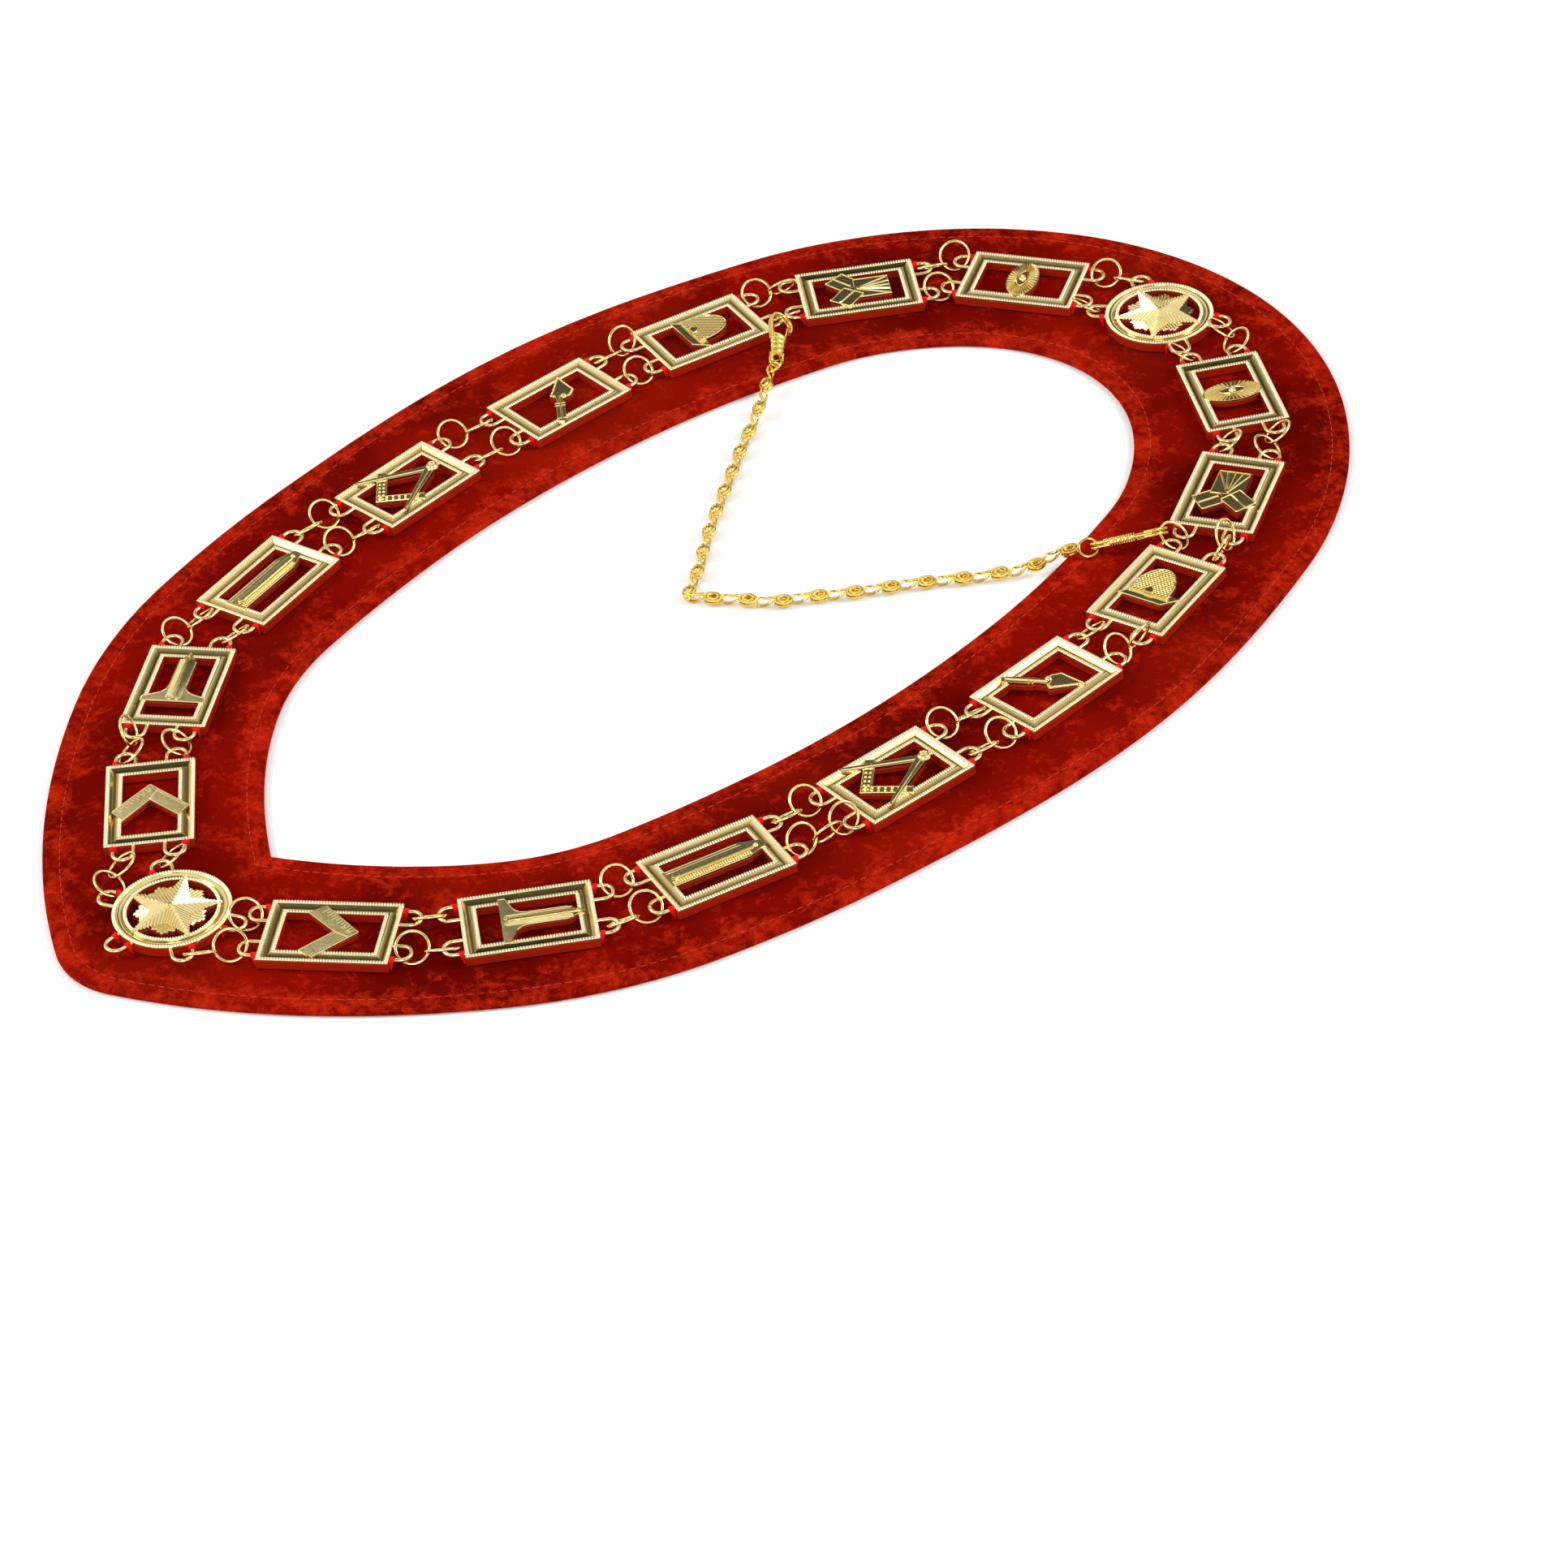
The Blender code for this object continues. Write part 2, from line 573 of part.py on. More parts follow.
def plaque_places(side):
    # for each plaque its matrix: +Y along the branch, +X to the right seen from above
    mirror = -1.0 if side == "l" else 1.0
    ends = 2 * ROUNDEL_RADIUS
    free = RUN - ends - len(PLAQUES) * PLAQUE_LENGTH
    share_sum = sum(GAP_SHARES[side])
    run = ROUNDEL_RADIUS
    places = []
    for row, share in zip(PLAQUES, GAP_SHARES[side]):
        shift, turn = row[1] if side == "l" else row[2]
        run += free * share / share_sum + PLAQUE_LENGTH / 2
        point, heading = on_middle(run)
        point = point + shift * PLAQUE_WIDTH * np.array([cos(heading), -sin(heading)])
        run += PLAQUE_LENGTH / 2
        angle = -mirror * (heading + radians(turn))
        spot = Matrix.Translation((mirror * point[0], point[1] - MIDDLE_Y, 0.0))
        places.append(spot @ Matrix.Rotation(angle, 4, "Z"))
    return places


def roundel_place(offset, end):
    return Matrix.Translation((offset[0], end + offset[1] - MIDDLE_Y, 0.0))


FRONT_PLACE = roundel_place(FRONT_ROUNDEL, 0.0)
BACK_PLACE = roundel_place(BACK_ROUNDEL, BACK_END)
PLACES = {side: plaque_places(side) for side in "lr"}


def row_ends(side, row, gap):
    # the two loop centres that a row of rings joins, from front to back
    outward = (1 if row == "outer" else -1) * (1 if side == "r" else -1)
    places = PLACES[side]
    if gap == 0:
        angle = next(a for s, r, a in FRONT_LOOPS if (s, r) == (side, row))
        start = FRONT_PLACE @ roundel_loop(angle)
    else:
        start = places[gap - 1] @ loop_centre(1, outward)
    if gap == len(places):
        angle = next(a for s, r, a in BACK_LOOPS if (s, r) == (side, row))
        end = BACK_PLACE @ roundel_loop(angle)
    else:
        end = places[gap] @ loop_centre(-1, outward)
    return start, end


# Jump rings. Each ring's plane holds the line between the loops' centres and is rolled
# about it until the wire comes down to the velvet. Neighbours lean opposite ways and touch.


def ring_chords(distance, wanted):
    # how many rings fill the row, their half chords, and the first crossing in its loop
    flat = FLAT_CHORD * RING_RADIUS
    steep = STEEP_CHORD * RING_RADIUS
    touch = RING_BITE * RING_WIRE
    fewest = max(1, ceil((distance - 2 * SLACK_IN) / (2 * flat)))
    most = max(1, floor((distance + 2 * SLACK_OUT - touch) / (2 * steep - touch)))
    count = max(fewest, min(wanted, most))
    spare = (distance + (count - 1) * touch) / 2 - count * flat
    slack = max(-SLACK_OUT, min(SLACK_IN, spare))
    chord = (distance + (count - 1) * touch - 2 * slack) / (2 * count)
    chord = min(chord, LONGEST_CHORD * RING_RADIUS)
    spread = min(flat - chord, chord - steep) if count == 2 and steep < chord < flat else 0.0
    chords = [chord + spread * (1 - 2 * (number % 2)) for number in range(count)]
    return chords, slack, touch


def ring_matrix(chord, lean):
    # a ring with its chord's middle at the origin, along +X, rolled towards +Y or -Y
    rise = LOOP_HEIGHT - GAP - RING_WIRE
    offset = sqrt(RING_RADIUS**2 - chord**2)
    roll = asin(min(rise / (RING_RADIUS - offset), sin(radians(STEEPEST))))
    if lean < 0:
        roll = pi - roll
    return Matrix.Rotation(roll, 4, "X") @ Matrix.Translation((0.0, offset, 0.0))


def ring_spots(side, row, gap):
    start, end = row_ends(side, row, gap)
    wanted = (OUTER_RINGS if row == "outer" else INNER_RINGS)[gap]
    chords, slack, touch = ring_chords((end - start).length, wanted)
    outward = 1 if (row == "outer") == (side == "l") else -1
    line = Matrix.Translation(start) @ (end - start).to_track_quat("X", "Z").to_matrix().to_4x4()
    along = slack
    spots = []
    for number, chord in enumerate(chords):
        lean = outward * (1 - 2 * ((number + gap) % 2)) if len(chords) > 1 else outward
        if len(chords) == 1 and row == "inner" and gap != HOOK_GAP:
            lean = outward * (1 - 2 * (gap % 2))
        spot = line @ Matrix.Translation((along + chord, 0.0, 0.0)) @ ring_matrix(chord, lean)
        spots.append(spot)
        along += 2 * chord - touch
    return spots


def ring_row(side, row, gap):
    half_step = Matrix.Rotation(pi / LINK_STEPS, 4, "Z")
    spots = ring_spots(side, row, gap)
    rings = [wire_ring(RING_RADIUS, RING_WIRE, spot @ half_step) for spot in spots]
    if len(rings) == 1:
        return baked(rings[0])
    return fused(rings[0], rings[1:])


# Hooks and chain


def ribbon(path, width):
    # the outline of a bent wire, square at both ends; the path is in hundredths of HOOK_LENGTH
    points = [Vector(point) * HOOK_LENGTH / 100 for point in path]
    runs = [(after - before).normalized() for before, after in zip(points, points[1:])]
    left, right = [], []
    for point, before, after in zip(points, runs[:1] + runs, runs + runs[-1:]):
        along = (before + after).normalized()
        side = Vector((-along.y, along.x)) * width / 2 / along.dot(after)
        left.append(point + side)
        right.append(point - side)
    return left + right[::-1]


def hook_place(side):
    # the hook's frame: +X along it, +Y to its left, +Z its upper face
    turn, rise, roll, held, hold = HOOK_HOLDS[side]
    start, end = row_ends(side, "inner", HOOK_GAP)
    heading = atan2(end.y - start.y, end.x - start.x) + radians(turn)
    angle = radians(held)
    wire = Vector((RING_RADIUS * cos(angle), RING_RADIUS * sin(angle), 0.0))
    wire = ring_spots(side, "inner", HOOK_GAP)[0] @ wire
    lean = Matrix.Rotation(-radians(rise), 4, "Y") @ Matrix.Rotation(radians(roll), 4, "X")
    back = Vector((-hold[0], -hold[1], 0.0)) * HOOK_LENGTH / 100
    return (
        Matrix.Translation(wire) @ Matrix.Rotation(heading, 4, "Z") @ lean @ Matrix.Translation(back)
    )


def hook():
    sleeve = [Vector(point) * HOOK_LENGTH / 100 for point in SLEEVE]
    body = outline_curve("sleeve", [sleeve], -SLEEVE_DEPTH / 2, SLEEVE_DEPTH / 2)
    wires = [
        outline_curve("eye", [ribbon(EYE_BEND, HOOK_WIRE)], -HOOK_DEPTH / 2, HOOK_DEPTH / 2),
        outline_curve("hook", [ribbon(HOOK_BEND, HOOK_WIRE)], -HOOK_DEPTH / 2, HOOK_DEPTH / 2),
        outline_curve("tongue", [ribbon(TONGUE, TONGUE_WIRE)], -TONGUE_WIRE / 2, TONGUE_WIRE / 2),
    ]
    return fused(body, wires)


def end_ring_place(side):
    # +X from the hook's eye to the chain
    eye = hook_place(side) @ Vector((HOOK_WIRE + EYE_SLACK + END_RING_WIRE, 0.0, 0.0))
    x, y, _ = CHAIN_ROUTE[0 if side == "l" else -1]
    level = VELVET_TOP + END_LIFT + CHAIN_RADIUS
    away = Vector((x - eye.x, y - eye.y, 0.0))
    away = away.normalized() * sqrt((2 * END_RING_RADIUS) ** 2 - (level - eye.z) ** 2)
    away.z = level - eye.z
    turn = away.to_track_quat("X", "Z").to_matrix().to_4x4()
    roll = Matrix.Rotation(radians(END_RING_ROLLS[side]), 4, "X")
    return Matrix.Translation(eye + away / 2) @ turn @ roll


def back_chain():
    ends = {side: end_ring_place(side) @ Vector((END_RING_RADIUS, 0.0, 0.0)) for side in "lr"}
    route = [Vector((x, y, CHAIN_RADIUS + low)) for x, y, low in CHAIN_ROUTE]
    route = [ends["l"]] + route + [ends["r"]]
    curve = bpy.data.curves.new("chain", "CURVE")
    curve.dimensions = "3D"
    curve.bevel_depth = CHAIN_RADIUS
    curve.bevel_resolution = 2
    curve.use_fill_caps = True
    spline = curve.splines.new("POLY")
    spline.points.add(len(route) - 1)
    for point, spot in zip(spline.points, route):
        point.co = (*spot, 1.0)
    rings = [wire_ring(END_RING_RADIUS, END_RING_WIRE, end_ring_place(side)) for side in "lr"]
    return fused(baked(loose("chain", curve)), rings)


VELVET = material("crimson_velvet", (0.42, 0.012, 0.010), 0.9, 0.0)
PALE_GOLD = material("pale_gold", (0.83, 0.76, 0.50), 0.25, 1.0)
YELLOW_GOLD = material("yellow_gold", (0.90, 0.70, 0.28), 0.25, 1.0)

finish(velvet_collar(), "velvet_collar", VELVET)
for side in "lr":
    for number, (row, place) in enumerate(zip(PLAQUES, PLACES[side]), 1):
        body = placed(plaque(row[0], side), place)
        finish(body, f"plaque_{side}{number}_{row[0]}", PALE_GOLD)
    for row in ("inner", "outer"):
        for gap in range(len(PLAQUES) + 1):
            finish(ring_row(side, row, gap), f"rings_{side}_{row}_{gap}", YELLOW_GOLD)
front = roundel(270.0, [angle for _, _, angle in FRONT_LOOPS] + [JEWEL_LOOP])
finish(placed(front, FRONT_PLACE), "roundel_front", PALE_GOLD)
back = roundel(90.0, [angle for _, _, angle in BACK_LOOPS])
finish(placed(back, BACK_PLACE), "roundel_back", PALE_GOLD)
finish(placed(hook(), hook_place("l")), "hook_left", YELLOW_GOLD)
finish(placed(hook(), hook_place("r")), "hook_right", YELLOW_GOLD)
finish(back_chain(), "back_chain", YELLOW_GOLD)

for body in list(bpy.context.scene.collection.objects):
    if body.name in collar.objects:
        bpy.context.scene.collection.objects.unlink(body)
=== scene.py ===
import random
from math import asin, atan2, ceil, cos, floor, hypot, pi, radians, sin, sqrt, tan

import bpy
from mathutils import Matrix, Vector, noise


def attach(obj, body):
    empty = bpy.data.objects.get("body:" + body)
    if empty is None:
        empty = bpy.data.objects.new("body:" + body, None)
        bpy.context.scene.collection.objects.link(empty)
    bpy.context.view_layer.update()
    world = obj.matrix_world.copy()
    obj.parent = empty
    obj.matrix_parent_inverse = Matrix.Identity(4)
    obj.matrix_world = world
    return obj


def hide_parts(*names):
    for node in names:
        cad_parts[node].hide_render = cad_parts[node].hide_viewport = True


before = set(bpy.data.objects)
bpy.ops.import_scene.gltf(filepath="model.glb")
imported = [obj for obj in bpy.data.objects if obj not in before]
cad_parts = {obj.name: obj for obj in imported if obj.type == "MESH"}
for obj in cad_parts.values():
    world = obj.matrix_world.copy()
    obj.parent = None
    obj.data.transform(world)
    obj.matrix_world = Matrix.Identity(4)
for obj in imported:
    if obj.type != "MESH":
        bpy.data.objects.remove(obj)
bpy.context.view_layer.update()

mm = 0.001
random.seed(11)
bpy.context.scene.view_settings.view_transform = "Standard"     # keeps the white ground and the deep red
print("collar: frame loaded with", len(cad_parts), "nodes")


# Where the CAD has things: x and y in mm and the turn in degrees, from the front to the back
layout = {
    "l": [
        (-49.57, -204.34, 51.51), (-94.61, -157.05, 37.44), (-119.96, -96.21, 13.57), (-127.79, -24.46, 4.30),
        (-127.25, 48.87, -1.65), (-119.82, 114.17, -12.15), (-95.92, 173.38, -34.54), (-53.03, 218.80, -59.79),
    ],
    "r": [
        (50.86, -205.90, -50.51), (94.94, -156.60, -34.71), (119.76, -95.01, -13.93), (130.14, -22.01, -2.98),
        (132.32, 47.77, 2.47), (122.93, 111.59, 14.26), (100.93, 170.56, 28.55), (58.32, 217.51, 59.21),
    ],
    "front": (1.7, -234.4),
    "back": (2.0, 236.7),
    "frontLoops": {"l_inner": 151.0, "l_outer": 207.0, "r_inner": 25.5, "r_outer": 330.5},
    "backLoops": {"l_inner": 215.5, "l_outer": 151.5, "r_inner": 333.5, "r_outer": 29.5},
    "jewelLoop": 270.0,
    "castFloor": 3.3 * mm,     # underside of the castings
    "loopLevel": 6.2 * mm,
}


# Everyday steps

def mode(name):
    bpy.ops.object.mode_set(mode=name)


def clearSelection():
    if bpy.context.object and bpy.context.object.mode != "OBJECT":
        mode("OBJECT")
    bpy.ops.object.select_all(action="DESELECT")


def take(body):
    clearSelection()
    body.select_set(True)
    bpy.context.view_layer.objects.active = body
    return body


def pick(body, kind, test):
    # selects in edit mode what passes the test, by its place or normal
    take(body)
    mode("EDIT")
    bpy.ops.mesh.select_mode(type=kind)
    bpy.ops.mesh.select_all(action="DESELECT")
    mode("OBJECT")
    for part in {"VERT": body.data.vertices, "FACE": body.data.polygons}[kind]:
        part.select = test(part)
    mode("EDIT")


def pickRims():
    bpy.ops.mesh.select_mode(type="EDGE")
    bpy.ops.mesh.select_non_manifold()


def editDone(body):
    bpy.ops.mesh.select_all(action="SELECT")
    bpy.ops.mesh.remove_doubles(threshold=1e-6)
    bpy.ops.mesh.normals_make_consistent(inside=False)
    mode("OBJECT")
    return body


def modified(body, kind, **settings):
    take(body)
    bpy.ops.object.modifier_add(type=kind)
    for name, value in settings.items():
        setattr(body.modifiers[-1], name, value)
    bpy.ops.object.modifier_apply(modifier=body.modifiers[-1].name)
    return body


def bevelled(body, width, angle=30.0):
    return modified(body, "BEVEL", width=width, segments=2, limit_method="ANGLE", angle_limit=radians(angle))


def squared(body):
    # keeps wide flat faces flat beside their rounded edges
    return modified(body, "WEIGHTED_NORMAL", keep_sharp=True, weight=80)


def settled(body):
    take(body)
    bpy.ops.object.transform_apply(location=True, rotation=True, scale=True)
    return body


def smoothed(body, angle):
    take(body)
    bpy.ops.object.shade_smooth_by_angle(angle=radians(angle))
    return body


def marked(body, name, values=None):
    # an attribute that a material reads; pieces without it read 0
    mark = body.data.attributes.new(name, "FLOAT", "POINT")
    mark.data.foreach_set("value", values or [1.0] * len(body.data.vertices))
    return body


def placed(name, data):
    body = bpy.data.objects.new(name, data)
    bpy.context.scene.collection.objects.link(body)
    return body


def copied(master, matrix):
    twin = placed(master.name, master.data.copy())
    twin.data.transform(matrix)
    if matrix.determinant() < 0:
        twin.data.flip_normals()
    return twin


def joined(bodies, name):
    take(bodies[0])
    for body in bodies[1:]:
        body.select_set(True)
    if len(bodies) > 1:
        bpy.ops.object.join()
    bodies[0].name = bodies[0].data.name = name
    return bodies[0]


def scrap(*bodies):
    for body in bodies:
        bpy.data.objects.remove(body, do_unlink=True)


def shift(x, y, z=0.0):
    return Matrix.Translation((x, y, z))


def turned(angle):
    return Matrix.Rotation(angle, 4, "Z")


def scaled(x, y, z):
    return Matrix.Diagonal((x, y, z, 1.0))


def circlePoint(radius, angle, x=0.0, y=0.0):
    return x + radius * cos(angle), y + radius * sin(angle)


def circlePrimitive(count, fill):
    clearSelection()
    bpy.ops.mesh.primitive_circle_add(vertices=count, radius=mm, fill_type=fill)
    return bpy.context.object


def torusPrimitive(radius, thickness, segments, sides):
    clearSelection()
    bpy.ops.mesh.primitive_torus_add(
        major_radius=radius, minor_radius=thickness, major_segments=segments, minor_segments=sides
    )
    return bpy.context.object


def spherePrimitive(segments, rings, size=(1.0, 1.0, 1.0)):
    clearSelection()
    bpy.ops.mesh.primitive_uv_sphere_add(segments=segments, ring_count=rings, radius=1.0, scale=size)
    bpy.ops.object.shade_smooth()
    return settled(bpy.context.object)


def outlinePlate(points, low, high, edge):
    # a flat casting: a round primitive whose corners are set to an outline, extruded and bevelled
    plate = circlePrimitive(len(points), "NGON")
    for vert, (x, y) in zip(plate.data.vertices, points):
        vert.co = (x, y, low)
    mode("EDIT")
    bpy.ops.mesh.select_all(action="SELECT")
    bpy.ops.mesh.extrude_region_move(TRANSFORM_OT_translate={"value": (0, 0, high - low)})
    return bevelled(editDone(plate), edge)


def wire(points, radius, resolution, smooth, closed=False):
    # a round wire along a path, as a mesh
    curve = bpy.data.curves.new("wire", "CURVE")
    curve.dimensions = "3D"
    curve.bevel_depth = radius
    curve.bevel_resolution = resolution
    curve.use_fill_caps = True
    curve.resolution_u = smooth
    spline = curve.splines.new("BEZIER" if smooth > 1 else "POLY")
    knots = spline.bezier_points if smooth > 1 else spline.points
    knots.add(len(points) - 1)
    for knot, point in zip(knots, points):
        if smooth > 1:
            knot.co = point
            knot.handle_left_type = knot.handle_right_type = "AUTO"
        else:
            knot.co = (*point, 1.0)
    spline.use_cyclic_u = closed
    take(placed("wire", curve))
    bpy.ops.object.convert(target="MESH")
    mode("EDIT")
    return editDone(bpy.context.object)


def dress(piece, finish, slotName, *nodes):
    piece.data.materials.clear()
    piece.data.materials.append(finish)
    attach(piece, "root")
    if nodes:
        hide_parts(*nodes)
    return piece


# Materials

def feed(tree, node, values):
    # links or sets inputs; a colour is given as three numbers
    for name, value in values.items():
        socket = node.inputs[name]
        if hasattr(value, "is_linked"):
            tree.links.new(value, socket)
        else:
            socket.default_value = (*value, 1.0) if socket.type == "RGBA" else value


def nodeIn(tree, kind, values={}, **settings):
    made = tree.nodes.new(kind)
    for name, value in settings.items():
        setattr(made, name, value)
    feed(tree, made, values)
    return made


def noiseIn(tree, vector, scale, detail=2.0, roughness=0.5, distortion=0.0):
    return nodeIn(tree, "ShaderNodeTexNoise", {
        "Vector": vector, "Scale": scale, "Detail": detail, "Roughness": roughness, "Distortion": distortion,
    }).outputs["Fac"]


def rangeIn(tree, value, low, high, toLow=0.0, toHigh=1.0):
    return nodeIn(tree, "ShaderNodeMapRange", {
        "Value": value, "From Min": low, "From Max": high, "To Min": toLow, "To Max": toHigh,
    }, clamp=True).outputs["Result"]


def mathIn(tree, operation, first, second):
    return nodeIn(tree, "ShaderNodeMath", {0: first, 1: second}, operation=operation).outputs[0]


def times(tree, first, second):
    return mathIn(tree, "MULTIPLY", first, second)


def plus(tree, first, second):
    return mathIn(tree, "ADD", first, second)


def mixIn(tree, factor, first, second):
    return nodeIn(tree, "ShaderNodeMix", {0: factor, 6: first, 7: second}, data_type="RGBA").outputs[2]


def bumpIn(tree, height, strength, distance):
    return nodeIn(tree, "ShaderNodeBump", {
        "Height": height, "Strength": strength, "Distance": distance,
    }).outputs["Normal"]


def newMaterial(name, roughness, metallic=0.0):
    made = bpy.data.materials.new(name)
    made.use_nodes = True
    tree = made.node_tree
    shader = tree.nodes["Principled BSDF"]
    feed(tree, shader, {"Roughness": roughness, "Metallic": metallic})
    return made, tree, shader, nodeIn(tree, "ShaderNodeTexCoord").outputs["Object"]


# One group for every plated casting and wire: painted shade in low places and along the grooves' bottoms, faint cloudy
# tarnish, rough patches, a paler painted highlight on the beads and a painted reflection of the velvet on the sides
platingSettings = {
    "cloud": (85.0, 3.0, 0.6, 0.4),          # noise: scale per metre, detail, roughness, distortion
    "grain": (2200.0, 2.0, 0.6),
    "patch": (0.42, 0.72),                   # cloud at which tarnish starts and is full
    "tarnish": 0.25,
    "upright": (0.15, 0.45, 1.0, 0.0),       # how level a normal is on a side and off it
    "sideFade": 0.0006,
    "grooved": (0.0060, 0.0069, 0.92, 0.0),  # heights where the painted shade in the grooves is full and gone
    "hollowRough": 0.12,
    "milledRough": 0.22,
    "grainHeight": 0.03,
    "relief": 0.0004,
    "paintedVelvetReflection": (0.52, 0.024, 0.005),       # painted reflection: the red pile, painted on the castings' sides as if mirrored there
    "groove": (0.19, 0.125, 0.028),          # painted shade along the bottom of the frames' grooves
    "milled": (1.0, 0.91, 0.65),             # painted highlight: the beads' paler colour
    "inputs": (
        "Vector", "Plate Color", "Hollow Color", "Hollow Low", "Hollow High", "Polish", "Unevenness", "Facing",
        "Side Color", "Side", "Side High", "Milled", "Milled Color", "Grooved", "Groove Color",
    ),
    "outputs": ("Color", "Metal", "Roughness", "Height"),
}


def platingGroup():
    look = platingSettings
    group = bpy.data.node_groups.new("plating", "ShaderNodeTree")
    kinds = {"Color": "NodeSocketColor", "Vector": "NodeSocketVector", "Facing": "NodeSocketVector"}
    for way, names in (("INPUT", look["inputs"]), ("OUTPUT", look["outputs"])):
        for name in names:
            kind = kinds.get(name.split()[-1], "NodeSocketFloat")
            group.interface.new_socket(name, in_out=way, socket_type=kind)
    given = nodeIn(group, "NodeGroupInput").outputs
    result = nodeIn(group, "NodeGroupOutput")
    level, aim = (
        nodeIn(group, "ShaderNodeSeparateXYZ", {0: given[name]}).outputs["Z"] for name in ("Vector", "Facing")
    )
    cloud = noiseIn(group, given["Vector"], *look["cloud"])
    grain = noiseIn(group, given["Vector"], *look["grain"])
    # painted shade: lower points, between Hollow Low and Hollow High, darken towards the hollow colour, more where
    # tarnished
    hollow = rangeIn(group, level, given["Hollow Low"], given["Hollow High"], 1.0, 0.0)
    tarnish = times(group, rangeIn(group, cloud, *look["patch"]), look["tarnish"])
    depth = times(group, hollow, plus(group, tarnish, 1.0 - look["tarnish"]))
    # painted reflection: steep sides below Side High take the red pile's colour and lose their metal
    upright = rangeIn(group, mathIn(group, "ABSOLUTE", aim, 0.0), *look["upright"])
    under = rangeIn(group, mathIn(group, "SUBTRACT", given["Side High"], level), 0.0, look["sideFade"])
    side = times(group, times(group, upright, under), given["Side"])
    # painted shade along the bottom of the grooves
    grooveShade = times(group, rangeIn(group, level, *look["grooved"]), given["Grooved"])
    paintedReflection = mathIn(group, "MINIMUM", times(group, side, 2.0), 1.0)
    colour = mixIn(group, tarnish, given["Plate Color"], given["Hollow Color"])
    # in turn: painted shade in low places, painted shade in the grooves, the beads' paler painted highlight, and the
    # painted reflection of the velvet on the sides
    for factor, name in (
        (depth, "Hollow Color"), (grooveShade, "Groove Color"), (given["Milled"], "Milled Color"), (paintedReflection, "Side Color"),
    ):
        colour = mixIn(group, factor, colour, given[name])
    spread = times(group, mathIn(group, "SUBTRACT", cloud, 0.5), given["Unevenness"])
    rough = plus(group, plus(group, given["Polish"], spread), times(group, depth, look["hollowRough"]))
    feed(group, result, {
        "Color": colour,
        "Metal": mathIn(group, "SUBTRACT", 1.0, side),
        "Roughness": plus(group, rough, times(group, given["Milled"], look["milledRough"])),
        "Height": plus(group, times(group, grain, look["grainHeight"]), cloud),
    })
    return group


plating = platingGroup()


def plated(name, colour, hollow, low, high, polish, unevenness, bump, side=0.0, sideHigh=0.0):
    look = platingSettings
    made, tree, shader, place = newMaterial(name, polish, 1.0)
    marks = {
        mark: nodeIn(tree, "ShaderNodeAttribute", attribute_name=mark.lower()).outputs["Fac"]
        for mark in ("Milled", "Grooved")
    }
    out = nodeIn(tree, "ShaderNodeGroup", {
        "Vector": place, "Plate Color": colour, "Hollow Color": hollow, "Hollow Low": low, "Hollow High": high,
        "Polish": polish, "Unevenness": unevenness, "Side": side, "Side High": sideHigh,
        "Facing": nodeIn(tree, "ShaderNodeNewGeometry").outputs["Normal"],
        "Side Color": look["paintedVelvetReflection"], "Milled Color": look["milled"], "Groove Color": look["groove"], **marks,
    }, node_tree=plating).outputs
    feed(tree, shader, {
        "Metallic": out["Metal"], "Base Color": out["Color"], "Roughness": out["Roughness"],
        "Normal": bumpIn(tree, out["Height"], bump, look["relief"]),
    })
    return made


velvetLook = {
    "pile": (0.225, 0.0034, 0.0007),
    "deep": (0.095, 0.0016, 0.0004),
    # the blotches' bright orange-red: partly the crushed pile's own colour, partly painted sheen
    "crushAndSheen": (0.680, 0.0290, 0.0070),
    # painted light: the colour of broad patches of pile lit more brightly
    "lit": (0.400, 0.0130, 0.0030),
    # noises: scale per metre, detail, roughness, distortion
    "crush": (105.0, 6.0, 0.76, 0.2),
    "streak": (420.0, 4.0, 0.75, 0.3),
    "lay": (14.0, 2.0, 0.5),
    "fibre": (1500.0, 3.0, 0.75),
    "broad": (7.5, 2.0, 0.5, 0.3),
    # what a noise runs between, and the values that it gives there
    "edgeRange": (0.10, 0.62),
    "crushAndSheenRange": (0.53, 0.79),
    "crushAndSheenFibre": (0.36, 0.62, 0.30, 1.0),
    "layShadeRange": (0.38, 0.60, 0.0, 0.90),
    "broadRange": (0.48, 0.70, 0.0, 0.50),
    "fibreRange": (0.3, 0.7, 0.0, 0.35),
    "roughRange": (0.3, 0.7, 0.95, 0.75),
    # painted sheen: how much brighter the blotches get towards the edges
    "edgeSheenLift": 0.13,
    "streakLift": 0.40,
    "heights": (0.8, 0.35),         # of the streaks and the fibres
    "bump": (0.45, 0.0006),
    "shader": {
        "Sheen Weight": 0.25, "Sheen Roughness": 0.30, "Sheen Tint": (1.0, 0.08, 0.02), "Specular IOR Level": 0.0,
    },
}


